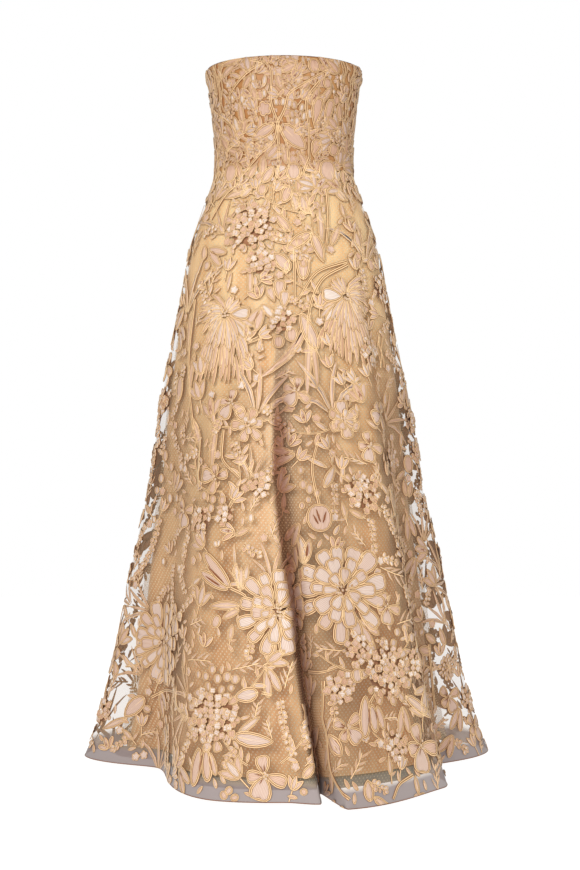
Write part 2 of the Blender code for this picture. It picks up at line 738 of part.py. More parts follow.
def add_pull_plate(shape, axis):
    """The pull's drop-shaped plate, from just under the bore to its round end."""
    start = BORE_RADIUS + SEAM_GAP
    end_radius = PULL_END_WIDTH / 2
    turns = np.linspace(-math.pi / 2, math.pi / 2, ROUND_SIDES // 2 + 1)
    outline = [(-PULL_NECK_WIDTH / 2, -start)]
    for turn in turns:
        outline.append((math.sin(turn) * end_radius, -PULL_LENGTH - math.cos(turn) * end_radius))
    outline.append((PULL_NECK_WIDTH / 2, -start))
    low = [shape.verts.new((x, -PULL_THICKNESS / 2, z)) for x, z in outline]
    plate = shape.faces.new(low)
    grown = bmesh.ops.extrude_face_region(shape, geom=[plate])["geom"]
    moved = [item for item in grown if isinstance(item, bmesh.types.BMVert)]
    bmesh.ops.translate(shape, verts=moved, vec=(0, PULL_THICKNESS, 0))
    bmesh.ops.recalc_face_normals(shape, faces=shape.faces)
    bmesh.ops.translate(shape, verts=shape.verts, vec=axis)


for leftover in list(bpy.data.objects):
    bpy.data.objects.remove(leftover)

GOWN = bpy.data.collections.new("strapless_gown")
CUTTERS = bpy.data.collections.new("cutters")
CUTTERS.hide_render = True
bpy.context.scene.collection.children.link(GOWN)
bpy.context.scene.collection.children.link(CUTTERS)

build_bodice()
build_skirt()
build_zip_tapes()
build_zip_metal()
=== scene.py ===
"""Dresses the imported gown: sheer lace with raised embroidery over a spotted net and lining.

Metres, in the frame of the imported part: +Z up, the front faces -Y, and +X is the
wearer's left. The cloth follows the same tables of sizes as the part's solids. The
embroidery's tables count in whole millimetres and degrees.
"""

import logging
import math
from dataclasses import dataclass, field
from enum import Enum
from functools import lru_cache
from typing import NamedTuple

import bmesh
import bpy
import numpy as np
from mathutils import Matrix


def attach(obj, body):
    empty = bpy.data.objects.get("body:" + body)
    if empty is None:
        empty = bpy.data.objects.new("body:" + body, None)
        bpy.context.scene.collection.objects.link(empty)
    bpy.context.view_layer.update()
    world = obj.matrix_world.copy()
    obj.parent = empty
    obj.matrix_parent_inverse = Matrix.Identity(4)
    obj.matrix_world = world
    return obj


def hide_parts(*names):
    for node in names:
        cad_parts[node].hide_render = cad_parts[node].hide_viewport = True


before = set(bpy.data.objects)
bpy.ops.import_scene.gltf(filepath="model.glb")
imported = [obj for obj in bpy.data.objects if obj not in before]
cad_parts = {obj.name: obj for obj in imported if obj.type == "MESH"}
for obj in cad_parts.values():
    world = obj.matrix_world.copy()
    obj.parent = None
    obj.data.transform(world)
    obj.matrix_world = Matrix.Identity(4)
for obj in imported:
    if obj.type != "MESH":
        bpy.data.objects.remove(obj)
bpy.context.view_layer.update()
LOG = logging.getLogger("gown")
Node = bpy.types.Node
Socket = bpy.types.NodeSocket

NECKLINE_Z = 0.171
WAIST_SEAM_Z = -0.031
HEM_Z = -1.160
NET_HEM_Z = -1.149
LINING_HEM_Z = -1.136
MM = 0.001
FULL_TURN = 360.0


class Section(NamedTuple):
    """Half width and depths of the gown without its folds, at one height."""

    z: float
    half_width: float
    front: float
    back: float


SECTIONS = (
    Section(0.171, 0.1500, 0.112, 0.098),
    Section(0.156, 0.1500, 0.117, 0.099),
    Section(0.142, 0.1450, 0.119, 0.099),
    Section(0.110, 0.1410, 0.121, 0.098),
    Section(0.060, 0.1355, 0.111, 0.093),
    Section(0.000, 0.1326, 0.096, 0.088),
    Section(-0.031, 0.1336, 0.095, 0.090),
    Section(-0.088, 0.1530, 0.106, 0.108),
    Section(-0.175, 0.1820, 0.128, 0.136),
    Section(-0.292, 0.2040, 0.156, 0.164),
    Section(-0.468, 0.2390, 0.196, 0.204),
    Section(-0.643, 0.2670, 0.234, 0.240),
    Section(-0.819, 0.3060, 0.272, 0.278),
    Section(-0.994, 0.3410, 0.313, 0.318),
    Section(-1.111, 0.3740, 0.343, 0.350),
    Section(-1.160, 0.3950, 0.355, 0.362),
)


class Fold(NamedTuple):
    """A crest or trough of the skirt: its angles from the front, its reach, and the painted shade
    laid on the cloth there.
    """

    name: str
    hip_angle: float
    hem_angle: float
    hem_share: float
    start_z: float
    shade: float


FOLDS = (
    Fold("right flare", -90.0, -91.0, 0.985, -0.20, 0.05),
    Fold("right trough", -64.0, -66.0, 0.655, -0.24, 0.16),
    Fold("front right", -24.0, -19.0, 0.945, -0.30, 0.12),
    Fold("front dip", -14.0, 1.0, 0.932, -0.34, 0.05),
    Fold("fold lip", -7.0, 10.4, 0.972, -0.34, 0.00),
    Fold("centre trough", -1.0, 13.2, 0.790, -0.34, 1.00),
    Fold("fold return", 6.0, 16.4, 1.080, -0.34, 0.22),
    Fold("front left", 46.0, 50.0, 0.980, -0.22, 0.00),
    Fold("left trough", 64.0, 70.0, 0.720, -0.22, 0.28),
    Fold("left flare", 90.0, 98.0, 1.035, -0.20, 0.05),
    Fold("back left trough", 116.0, 121.0, 0.800, -0.28, 0.40),
    Fold("back left", 140.0, 143.0, 0.985, -0.28, 0.10),
    Fold("back left dip", 160.0, 161.0, 0.860, -0.34, 0.45),
    Fold("back centre", 180.0, 180.0, 1.030, -0.34, 0.00),
    Fold("back right dip", 201.0, 199.0, 0.840, -0.34, 0.45),
    Fold("back right", 222.0, 219.0, 1.000, -0.28, 0.10),
    Fold("back right trough", 244.0, 243.0, 0.760, -0.28, 0.40),
)
FOLD_LIP = 4
FOLD_GROWTH = 1.15
# Painted shade: an even share over the bodice, a share on the skirt's sides past a sideways lean,
# and the skirt's painted shade fading in below a height
BODICE_PAINTED_SHADE = 0.28
SIDE_PAINTED_SHADE = 0.14
SIDE_START = 0.70
PAINTED_SHADE_START_Z = -0.30
PAINTED_SHADE_GROWTH = 0.22
DRIFT_START_Z = -0.60
SLIM_START_Z = -0.12


class Crease(NamedTuple):
    """A listed soft crease: angles and heights of its ends, its half width and depth."""

    top_angle: float
    end_angle: float
    top: float
    end: float
    half_width: float
    depth: float


CREASES = (
    Crease(-10.0, -8.0, -0.20, -0.56, 4.0, 0.0060),
    Crease(-31.0, -34.0, -0.16, -0.62, 5.0, 0.0050),
    Crease(-48.0, -46.0, -0.22, -0.90, 4.0, 0.0060),
    Crease(14.0, 20.0, -0.24, -0.70, 4.5, -0.0045),
    Crease(25.0, 27.0, -0.30, -0.96, 5.0, 0.0060),
    Crease(38.0, 36.0, -0.26, -0.74, 4.0, 0.0045),
    Crease(61.0, 57.0, -0.14, -0.60, 5.0, 0.0060),
    Crease(-72.0, -78.0, -0.14, -0.66, 6.0, 0.0060),
    Crease(97.0, 104.0, -0.20, -0.80, 5.0, 0.0060),
    Crease(131.0, 128.0, -0.16, -0.74, 5.0, 0.0055),
    Crease(152.0, 150.0, -0.30, -1.00, 4.0, 0.0060),
    Crease(174.0, 170.0, -0.26, -0.86, 4.5, 0.0050),
    Crease(191.0, 195.0, -0.24, -0.92, 4.5, 0.0055),
    Crease(212.0, 208.0, -0.18, -0.70, 5.0, 0.0060),
    Crease(233.0, 236.0, -0.28, -0.98, 5.0, 0.0055),
    Crease(259.0, 254.0, -0.16, -0.72, 5.0, 0.0060),
)


class Panel(NamedTuple):
    """A cut piece of a layer, from one fold position to another round the gown."""

    name: str
    start: float
    end: float


# Positions counted in folds round the gown, from the right side seam
CENTRE_FRONT, LEFT_SEAM, CENTRE_BACK, ROUND = 4.5, 9.0, 13.0, 17.0
PANELS = (
    Panel("front", 0.0, LEFT_SEAM),
    Panel("back_left", LEFT_SEAM, CENTRE_BACK),
    Panel("back_right", CENTRE_BACK, ROUND),
)


class Layer(NamedTuple):
    """How a layer hangs inside the lace: its gaps, and how much slimmer it is at the hem."""

    waist_gap: float
    hem_gap: float
    slimness: float


LACE = Layer(0.0, 0.0, 0.0)
NET = Layer(0.00180, 0.012, 0.165)
LINING = Layer(0.00320, 0.022, 0.213)
LAYER_SOFTNESS = 0.010


def smooth_curve(knots: np.ndarray, values: np.ndarray, at: np.ndarray) -> np.ndarray:
    """A smooth curve through the values that never overshoots them.

    Args:
        knots: Rising places of the values.
        values: The values at the knots.
        at: Where the curve is read.

    Returns:
        The curve's values.
    """
    widths = np.diff(knots)
    rises = np.diff(values) / widths
    product = rises[:-1] * rises[1:]
    total = rises[:-1] + rises[1:]
    slopes = np.empty(len(knots))
    slopes[1:-1] = np.where(product > 0, 2 * product / np.where(total == 0, 1, total), 0)
    slopes[0] = rises[0]
    slopes[-1] = rises[-1]
    cell = np.clip(np.searchsorted(knots, at, side="right") - 1, 0, len(widths) - 1)
    part = (at - knots[cell]) / widths[cell]
    rest = 1 - part
    start = values[cell] * (1 + 2 * part) * rest**2
    end = values[cell + 1] * part**2 * (1 + 2 * rest)
    lean = widths[cell] * part * rest * (slopes[cell] * rest - slopes[cell + 1] * part)
    return start + end + lean


def ease(part: np.ndarray) -> np.ndarray:
    """A share from 0 to 1 with a soft start and end."""
    return part * part * (3 - 2 * part)


def cell(position: np.ndarray) -> tuple[np.ndarray, np.ndarray]:
    """The fold before each position, and how far past it the position lies."""
    index = np.floor(position).astype(int)
    return index, position - index


@dataclass
class GownForm:
    """The gown's outer surface, and a chart on it that keeps true lengths round the cloth."""

    rows: int = 260
    steps: int = 40
    first: int = -5
    last: int = 22
    drops: np.ndarray = field(init=False)
    columns: dict = field(init=False)

    def __post_init__(self) -> None:
        """Fills the tables of angles and lengths that the chart reads."""
        self.drops = np.array([NECKLINE_Z - row.z for row in SECTIONS])
        self.columns = {
            name: np.array([getattr(row, name) for row in SECTIONS])
            for name in ("half_width", "front", "back")
        }
        self.columns.update(
            {name: np.array([getattr(row, name) for row in FOLDS]) for name in Fold._fields[1:]}
        )
        self.heights = np.linspace(NECKLINE_Z, HEM_Z, self.rows)
        count = (self.last - self.first) * self.steps + 1
        self.positions = np.linspace(self.first, self.last, count)
        points = self.point(self.positions[None, :], self.heights[:, None], LACE)
        lengths = np.linalg.norm(np.diff(points, axis=1), axis=2)
        self.lengths = np.concatenate([np.zeros((self.rows, 1)), lengths.cumsum(axis=1)], axis=1)
        self.angles = self.angle(self.positions[None, :], self.heights[:, None])
        self.across = points[:, :, 0]

    def plain_radius(self, angle: np.ndarray, z: np.ndarray) -> np.ndarray:
        """Radius without folds: a front and a back half ellipse that share their width.

        Args:
            angle: Degrees from the front towards the wearer's left.
            z: Heights.

        Returns:
            The radii.
        """
        drop = NECKLINE_Z - z
        half_width = smooth_curve(self.drops, self.columns["half_width"], drop)
        front = smooth_curve(self.drops, self.columns["front"], drop)
        back = smooth_curve(self.drops, self.columns["back"], drop)
        radians = np.radians(angle)
        depth = np.where(np.cos(radians) > 0, front, back)
        return 1 / np.hypot(np.sin(radians) / half_width, np.cos(radians) / depth)

    def _of_fold(self, name: str, index: np.ndarray) -> np.ndarray:
        """A column of the table of folds, read by folds counted on round the gown."""
        return self.columns[name][index % len(FOLDS)]

    def _fold_angle(self, index: np.ndarray, z: np.ndarray) -> np.ndarray:
        """Angle of a crest or trough, which drifts sideways in the lower skirt."""
        drift = np.clip((DRIFT_START_Z - z) / (DRIFT_START_Z - HEM_Z), 0, 1)
        hip, hem = self._of_fold("hip_angle", index), self._of_fold("hem_angle", index)
        return hip + (hem - hip) * drift + FULL_TURN * (index // len(FOLDS))

    def _fold_share(self, index: np.ndarray, z: np.ndarray) -> np.ndarray:
        """Share of the plain radius at a crest or trough, which grows towards the hem."""
        start = self._of_fold("start_z", index)
        growth = np.clip((start - z) / (start - HEM_Z), 0, 1) ** FOLD_GROWTH
        return 1 + (self._of_fold("hem_share", index) - 1) * growth

    def angle(self, position: np.ndarray, z: np.ndarray) -> np.ndarray:
        """Angle in degrees at positions counted in folds round the gown.

        Args:
            position: Positions counted in folds.
            z: Heights.

        Returns:
            The angles.
        """
        position, z = np.broadcast_arrays(np.asarray(position, float), np.asarray(z, float))
        index, part = cell(position)
        return self._fold_angle(index, z) * (1 - part) + self._fold_angle(index + 1, z) * part

    def point(self, position: np.ndarray, z: np.ndarray, layer: Layer) -> np.ndarray:
        """Points of a layer's outer face.

        Args:
            position: Positions counted in folds.
            z: Heights.
            layer: The layer.

        Returns:
            The points, with x, y and z along the last axis.
        """
        position, z = np.broadcast_arrays(np.asarray(position, float), np.asarray(z, float))
        index, part = cell(position)
        eased = ease(part)
        angle = self.angle(position, z)
        share = self._fold_share(index, z) * (1 - eased) + self._fold_share(index + 1, z) * eased
        plain = self.plain_radius(angle, z)
        radius = plain * share - self._creases(angle, z)
        if layer.slimness:
            fullness = np.clip((SLIM_START_Z - z) / (SLIM_START_Z - HEM_Z), 0, 1)
            hung = radius - layer.waist_gap - (layer.hem_gap - layer.waist_gap) * fullness
            own = plain * (1 - layer.slimness * fullness)
            radius = (hung + own - np.hypot(hung - own, LAYER_SOFTNESS * fullness)) / 2
        radians = np.radians(angle)
        return np.stack([radius * np.sin(radians), -radius * np.cos(radians), z], axis=-1)

    @staticmethod
    def _creases(angle: np.ndarray, z: np.ndarray) -> np.ndarray:
        """Depth of the soft creases, which fade out at both their ends."""
        depth = np.zeros(np.broadcast(angle, z).shape)
        for row in CREASES:
            down = np.clip((row.top - z) / (row.top - row.end), 0, 1)
            middle = row.top_angle + (row.end_angle - row.top_angle) * down
            away = (angle - middle + 180) % FULL_TURN - 180
            depth += row.depth * np.sin(np.pi * down) ** 2 * np.exp(-((away / row.half_width) ** 2))
        return depth

    def shade(self, position: np.ndarray, z: np.ndarray) -> np.ndarray:
        """Painted shade, how far the cloth's colours are darkened: most in deep folds, some on the
        gown's sides, and an even share on the bodice.

        Args:
            position: Positions counted in folds.
            z: Heights.

        Returns:
            Shades from 0, open, to 1, deep.
        """
        index, part = cell(position)
        eased = ease(part)
        # Painted shadow of the fold's lip: past the lip the painted shade rises at once
        eased = np.where(index % len(FOLDS) == FOLD_LIP, np.minimum(1, 3 * eased), eased)
        fold = self._of_fold("shade", index) * (1 - eased)
        fold += self._of_fold("shade", index + 1) * eased
        grown = np.clip((PAINTED_SHADE_START_Z - z) / PAINTED_SHADE_GROWTH, 0, 1)
        sideways = np.abs(np.sin(np.radians(self.angle(position, z))))
        side = SIDE_PAINTED_SHADE * np.clip((sideways - SIDE_START) / (1 - SIDE_START), 0, 1)
        return np.clip((fold + side) * grown + BODICE_PAINTED_SHADE * (z > WAIST_SEAM_Z), 0, 1)

    def chart_row(self, z: np.ndarray) -> np.ndarray:
        """Where heights lie in the chart, counted in rows from the neckline."""
        return (NECKLINE_Z - z) / (NECKLINE_Z - HEM_Z) * (self.rows - 1)

    def row_at(self, z: float) -> int:
        """The chart's row that is nearest to a height."""
        return int(np.clip(round(float(self.chart_row(z))), 0, self.rows - 1))

    def between(self, start: float, end: float, z: float) -> float:
        """Length round the cloth from one angle to another at a height."""
        row = self.row_at(z)
        ends = np.interp([start, end], self.angles[row], self.lengths[row])
        return float(ends[1] - ends[0])

    def normal(self, position: np.ndarray, z: np.ndarray, layer: Layer) -> np.ndarray:
        """Outward unit normals of a layer's outer face.

        Args:
            position: Positions counted in folds.
            z: Heights.
            layer: The layer.

        Returns:
            The normals.
        """
        step = 1e-4
        around = self.point(position + step, z, layer) - self.point(position - step, z, layer)
        upward = self.point(position, z + step, layer) - self.point(position, z - step, layer)
        normal = np.cross(around, upward)
        return normal / np.linalg.norm(normal, axis=-1, keepdims=True)

    def follow(self, angle: np.ndarray, z: np.ndarray, along: np.ndarray) -> np.ndarray:
        """Positions that lie given lengths round the cloth from given angles.

        Args:
            angle: Start angles in degrees.
            z: Heights of the wanted points.
            along: Lengths round the cloth, towards the wearer's left on the front.

        Returns:
            Positions counted in folds.
        """
        place = self.chart_row(z)
        row = np.clip(place.astype(int), 0, self.rows - 2)
        part = place - row
        order = np.argsort(row, kind="stable")
        edges = np.searchsorted(row[order], np.arange(self.rows))
        found = np.zeros(len(z))
        for index in np.unique(row):
            mine = order[edges[index] : edges[index + 1]]
            for near, weight in ((index, 1 - part[mine]), (index + 1, part[mine])):
                start = np.interp(angle[mine], self.angles[near], self.lengths[near])
                reached = np.interp(start + along[mine], self.lengths[near], self.positions)
                found[mine] += weight * reached
        return found

    def angle_across(self, across: float, z: float, back: bool) -> float:
        """Angle at which the cloth lies so far across to the wearer's left.

        Args:
            across: Distance across from the middle of the gown.
            z: Height.
            back: Whether the point is on the back.

        Returns:
            The angle in degrees.
        """
        row = self.row_at(z)
        start, end = (LEFT_SEAM, ROUND) if back else (0.0, LEFT_SEAM)
        near = (self.positions >= start) & (self.positions <= end)
        reach = self.across[row][near] * (-1 if back else 1)
        wanted = -across if back else across
        return float(np.interp(wanted, np.maximum.accumulate(reach), self.angles[row][near]))


def linear(colour: str) -> tuple[float, float, float, float]:
    """Linear values of an sRGB hex colour.

    Args:
        colour: The colour as six hex digits.

    Returns:
        Red, green, blue and a full alpha.
    """
    parts = [int(colour[start : start + 2], 16) / 255 for start in (0, 2, 4)]
    red, green, blue = (
        part / 12.92 if part <= 0.04045 else ((part + 0.055) / 1.055) ** 2.4 for part in parts
    )
    return red, green, blue, 1.0


# Scale of Blender's wave texture that makes one band a unit wide
BAND = 0.314
# Numbers of the colour sockets of Blender's mix node
MIX_SHARE, MIX_UNDER, MIX_OVER, MIX_RESULT = 0, 6, 7, 2


def add_node(
    material: bpy.types.Material | bpy.types.World, kind: str, settings: dict | None = None,
    links: dict | None = None,
) -> Node:
    """Adds a node with its settings and links.

    Args:
        material: The material or world that gets the node.
        kind: The node's type.
        settings: Values of its inputs or of its own properties, by name.
        links: Outputs that feed its inputs, by the input's name or number.

    Returns:
        The node.
    """
    node = material.node_tree.nodes.new(kind)
    for name, value in (settings or {}).items():
        if isinstance(name, int) or name in node.inputs:
            node.inputs[name].default_value = value
        else:
            setattr(node, name, value)
    for name, source in (links or {}).items():
        material.node_tree.links.new(source, node.inputs[name])
    return node


class NodeSheet:
    """A material while its nodes are laid; most methods add one node and give its output."""

    def __init__(self, name: str, surface: dict) -> None:
        """Starts a material whose shader has plain settings.

        Args:
            name: The material's name.
            surface: Values of the shader's sockets.
        """
        self.material = bpy.data.materials.new(name)
        self.material.use_nodes = True
        self.shader = self.material.node_tree.nodes["Principled BSDF"]
        for socket, value in surface.items():
            self.shader.inputs[socket].default_value = value

    def add(self, kind: str, settings: dict | None = None, links: dict | None = None) -> Node:
        """Adds a shader node of a kind to the material."""
        return add_node(self.material, f"ShaderNode{kind}", settings, links)

    def attribute(self, name: str) -> Socket:
        """A value that the mesh keeps at its points."""
        return self.add("Attribute", {"attribute_name": name}).outputs["Fac"]

    def uv(self) -> Socket:
        """The place on the cut cloth or on the stitched piece, in mm."""
        return self.add("UVMap", {"uv_map": "UVMap"}).outputs["UV"]

    def place(self) -> Socket:
        """The place in the gown's own frame, in metres."""
        return self.add("TexCoord").outputs["Object"]

    def part(self, vector: Socket, axis: str) -> Socket:
        """One part of a vector."""
        return self.add("SeparateXYZ", links={"Vector": vector}).outputs[axis]

    def scaled(self, vector: Socket, settings: dict) -> Socket:
        """A vector that is turned and scaled."""
        return self.add("Mapping", settings, {"Vector": vector}).outputs["Vector"]

    def mapped(self, value: Socket, settings: dict) -> Socket:
        """A value moved from one range to another, and kept in it."""
        return self.add("MapRange", settings, {"Value": value}).outputs["Result"]

    def counted(self, operation: str, settings: dict, links: dict) -> Socket:
        """The result of a sum."""
        return self.add("Math", {"operation": operation, **settings}, links).outputs["Value"]

    def bands(self, axis: str, width_mm: float, unit_mm: float, warp: float, at: Socket) -> Socket:
        """Soft bands across an axis, so many mm wide where the vector counts in unit_mm."""
        settings = {"bands_direction": axis, "Scale": BAND * unit_mm / width_mm, "Distortion": warp}
        return self.add("TexWave", settings, {"Vector": at}).outputs["Fac"]

    def noise(self, scale: float, detail: float, at: Socket) -> Socket:
        """Soft clouds."""
        return self.add(
            "TexNoise", {"Scale": scale, "Detail": detail}, {"Vector": at}
        ).outputs["Fac"]

    def bump(self, height: Socket, strength: float, distance: float) -> Socket:
        """A normal that follows a height."""
        settings = {"Strength": strength, "Distance": distance}
        return self.add("Bump", settings, {"Height": height}).outputs["Normal"]

    def ramp(self, value: Socket, stops: tuple[tuple[float, str], ...]) -> Socket:
        """A colour from a value by a ramp of hex colours.

        Args:
            value: The output that is looked up.
            stops: Places and colours of the ramp.

        Returns:
            The ramp's colour.
        """
        node = self.add("ValToRGB", links={"Fac": value})
        elements = node.color_ramp.elements
        while len(elements) < len(stops):
            elements.new(0.5)
        for element, (place, colour) in zip(elements, stops):
            element.position = place
            element.color = linear(colour)
        return node.outputs["Color"]

    def mixed(
        self, colour: Socket, other: Socket | str, share: Socket | float, blend: str = "MULTIPLY"
    ) -> Socket:
        """A colour with another one laid over it.

        Args:
            colour: The colour underneath.
            other: What is laid over it, an output or a hex colour.
            share: How much of it takes effect.
            blend: How it is laid over.

        Returns:
            The mixed colour.
        """
        node = self.add("Mix", {"data_type": "RGBA", "blend_type": blend}, {MIX_UNDER: colour})
        if isinstance(other, str):
            node.inputs[MIX_OVER].default_value = linear(other)
        else:
            self.material.node_tree.links.new(other, node.inputs[MIX_OVER])
        if isinstance(share, float):
            node.inputs[MIX_SHARE].default_value = share
        else:
            self.material.node_tree.links.new(share, node.inputs[MIX_SHARE])
        return node.outputs[MIX_RESULT]

    def with_painted_shade(self, colour: Socket, deep: str, share: float) -> Socket:
        """A colour darkened towards a deep colour by the painted shade that the mesh keeps."""
        part = self.mapped(self.attribute("shade"), {"To Max": share})
        return self.mixed(colour, deep, part)

    def feed(self, links: dict[str, Socket]) -> bpy.types.Material:
        """Feeds the shader's sockets and gives the material."""
        for socket, source in links.items():
            self.material.node_tree.links.new(source, self.shader.inputs[socket])
        return self.material


@dataclass(frozen=True)
class SatinStitch:
    """Rayon satin stitch: soft, pinkish cream, with rows of thread along each petal."""

    name: str = "satin_stitched_rayon"
    tones: tuple = (
        (0.0, "9A5C32"), (0.28, "D2A47C"), (0.5, "E2BEA4"), (0.75, "E2CCBE"), (1.0, "F2E4D8")
    )
    rows: tuple = ((0.1, "E6D2C4"), (0.6, "FFFFFF"))
    # Brown of the painted shade
    deep: str = "8E5830"
    thread_mm: float = 2.6

    def material(self) -> bpy.types.Material:
        """The stitches' material, drawn coarser than the 0.4 mm thread so that it shows."""
        sheet = NodeSheet(
            self.name, {"Roughness": 0.6, "Sheen Weight": 0.2, "Sheen Roughness": 0.4}
        )
        base = sheet.ramp(sheet.attribute("tone"), self.tones)
        lines = sheet.bands("Y", self.thread_mm, 1.0, 2.0, sheet.uv())
        colour = sheet.mixed(base, sheet.ramp(lines, self.rows), 0.9)
        return sheet.feed({
            # Painted shade darkens the stitches in folds, on the sides and on the bodice
            "Base Color": sheet.with_painted_shade(colour, self.deep, 0.85),
            "Normal": sheet.bump(lines, 0.4, 0.0006),
        })


@dataclass(frozen=True)
class BraidedCord:
    """Double rayon cord in warm gold, with a painted highlight on its crests, painted shade in the
    groove and a painted shadow at its feet.
    """

    name: str = "braided_rayon_cord"
    # Colours across half the cord: painted shadow at the foot, painted highlight on the crest,
    # painted shade in the groove
    half: tuple = (
        (0.0, "643616"), (0.10, "9A6230"), (0.17, "F8CE96"), (0.27, "FFE4B4"), (0.37, "E4AE70"),
        (0.45, "7E4A20"),
    )
    deep: str = "8E5830"
    twist_mm: float = 3.0

    def material(self) -> bpy.types.Material:
        """The cord's material, coloured alike on both its halves, with a slight twist."""
        sheet = NodeSheet(self.name, {"Roughness": 0.5, "Sheen Weight": 0.2})
        uv = sheet.uv()
        tones = self.half + tuple((round(1 - at, 2), colour) for at, colour in self.half[::-1])
        base = sheet.ramp(sheet.part(uv, "Y"), tones)
        twist = sheet.bands("X", self.twist_mm, 1.0, 0.5, uv)
        return sheet.feed({
            # Painted shade darkens the cords in folds, on the sides and on the bodice
            "Base Color": sheet.with_painted_shade(base, self.deep, 0.85),
            "Normal": sheet.bump(twist, 0.3, 0.0004),
        })


@dataclass(frozen=True)
class SheerTulle:
    """Nylon tulle: clear where it lies on the lining; in folds and on the sides it grows denser, as
    tulle lying doubled, and browner with painted shade.
    """

    name: str = "nylon_tulle"
    # Colours from open cloth to the deepest painted shade
    colours: tuple = ((0.0, "D6BC9A"), (1.0, "8E6444"))
    # Below the lining's hem the tulle is denser and greyer: partly doubled tulle seen through,
    # partly painted shade of the gown's hollow inside
    alone: str = "8C7C78"
    cover: float = 0.13
    doubled: float = 0.38
    alone_cover: float = 0.72
    free_z: tuple = (-1.122, -1.136)

    def material(self) -> bpy.types.Material:
        """The tulle's material; its 1 mm holes are too fine to show, so it is evenly sheer."""
        sheet = NodeSheet(self.name, {"Roughness": 0.7, "Sheen Weight": 0.1})
        shade = sheet.attribute("shade")
        cover = sheet.mapped(shade, {"To Min": self.cover, "To Max": self.doubled})
        start, end = self.free_z
        height = sheet.part(sheet.place(), "Z")
        free = sheet.mapped(height, {"From Min": start, "From Max": end})
        layered = sheet.ramp(shade, self.colours)
        return sheet.feed({
            "Base Color": sheet.mixed(layered, self.alone, free, "MIX"),
            "Alpha": sheet.counted("MULTIPLY_ADD", {1: self.alone_cover}, {0: free, 2: cover}),
        })


@dataclass(frozen=True)
class SpottedNet:
    """Point net with small woven dots on the bias; at the hem it is dark olive, partly net lying
    doubled and partly painted shade of the gown's hollow inside.
    """

    name: str = "spotted_point_net"
    ground: str = "C8A878"
    dot: str = "FFF0CC"
    dot_share: float = 0.22
    cover: float = 0.13
    dot_cover: float = 0.62
    doubled: float = 0.40
    deep: str = "A8805A"
    pitch_mm: float = 6.4

    def material(self) -> bpy.types.Material:
        """The net's material: dots stand on a diagonal grid of the real spacing."""
        sheet = NodeSheet(self.name, {"Roughness": 0.75})
        bias = {"Rotation": (0.0, 0.0, math.radians(45.0)), "Scale": (1 / self.pitch_mm,) * 3}
        grid = {"voronoi_dimensions": "2D", "Scale": 1.0, "Randomness": 0.0}
        dots = sheet.add("TexVoronoi", grid, {"Vector": sheet.scaled(sheet.uv(), bias)})
        on_dot = sheet.counted(
            "LESS_THAN", {1: self.dot_share}, {0: dots.outputs["Distance"]}
        )
        base = sheet.ramp(on_dot, ((0.0, self.ground), (1.0, self.dot)))
        between = sheet.mapped(
            sheet.attribute("shade"), {"To Min": self.cover, "To Max": self.doubled}
        )
        cover = sheet.add(
            "MapRange", {"To Max": self.dot_cover}, {"Value": on_dot, "To Min": between}
        )
        return sheet.feed({
            # Painted shade darkens the net in folds and on the sides
            "Base Color": sheet.with_painted_shade(base, self.deep, 0.7), "Alpha": cover.outputs["Result"],
        })


# The net's hem below the lining: dark olive, partly doubled net and partly painted shade
HEM_NET_DOUBLED_AND_SHADED = SpottedNet("doubled_net_hem", "565240", "8E8668", 0.20, 0.90, 0.92, 0.90)


@dataclass(frozen=True)
class SatinLining:
    """Polyester satin, smooth and golden, with long soft shading down its drape."""

    name: str = "polyester_satin"
    # Upper and lower colours: painted shade makes the satin darker and browner downwards
    upper: str = "FCDCA6"
    lower: str = "F2C088"
    deep: str = "6E4020"
    # Strength of the painted glow, though the satin is no lamp
    glow: float = 0.09
    high: float = -0.15
    low: float = -0.95
    streaks: tuple = ((0.36, "E4C29A"), (0.62, "FFFFFF"))

    def material(self) -> bpy.types.Material:
        """The satin's material, with painted shade: browner downwards and in its folds, and in
        faint streaks down the drape.

        A faint glow is painted light: it stands in for the light that comes through the thin cloth
        from the hollow side.

        Returns:
            The material.
        """
        sheet = NodeSheet(
            self.name, {"Roughness": 0.42, "Sheen Weight": 0.15, "Emission Strength": self.glow}
        )
        place = sheet.place()
        height = sheet.mapped(
            sheet.part(place, "Z"), {"From Min": self.low, "From Max": self.high}
        )
        base = sheet.ramp(height, ((0.0, self.lower), (1.0, self.upper)))
        # Painted drape shading: soft streaks down the satin, also used for its bump
        drawn = sheet.noise(1.0, 3.0, sheet.scaled(place, {"Scale": (26.0, 26.0, 1.8)}))
        colour = sheet.mixed(base, sheet.ramp(drawn, self.streaks), 0.7)
        # Painted shade of the folds and sides, from the mesh's shade
        colour = sheet.with_painted_shade(colour, self.deep, 1.0)
        return sheet.feed({
            "Base Color": colour, "Emission Color": colour,
            "Normal": sheet.bump(drawn, 0.25, 0.004),
        })


# The bodice's ground: even in height and without glow, but with the painted streaks and the
# bodice's painted shade
CREPE_BODICE = SatinLining("crepe_backed_bodice", "D09A5C", "D09A5C", "8A5228", 0.0)


@dataclass(frozen=True)
class WovenTape:
    """Woven polyester zip tape: matt beige with a fine rib across it."""

    name: str = "woven_zip_tape"
    ribs: tuple = ((0.0, "93704B"), (1.0, "B08A60"))
    rib_mm: float = 1.2

    def material(self) -> bpy.types.Material:
        """The tape's material, with ribs drawn twice as coarse as the real ones."""
        sheet = NodeSheet(self.name, {"Roughness": 0.8})
        bands = sheet.bands("Z", self.rib_mm, 1000.0, 0.0, sheet.place())
        return sheet.feed({"Base Color": sheet.ramp(bands, self.ribs)})


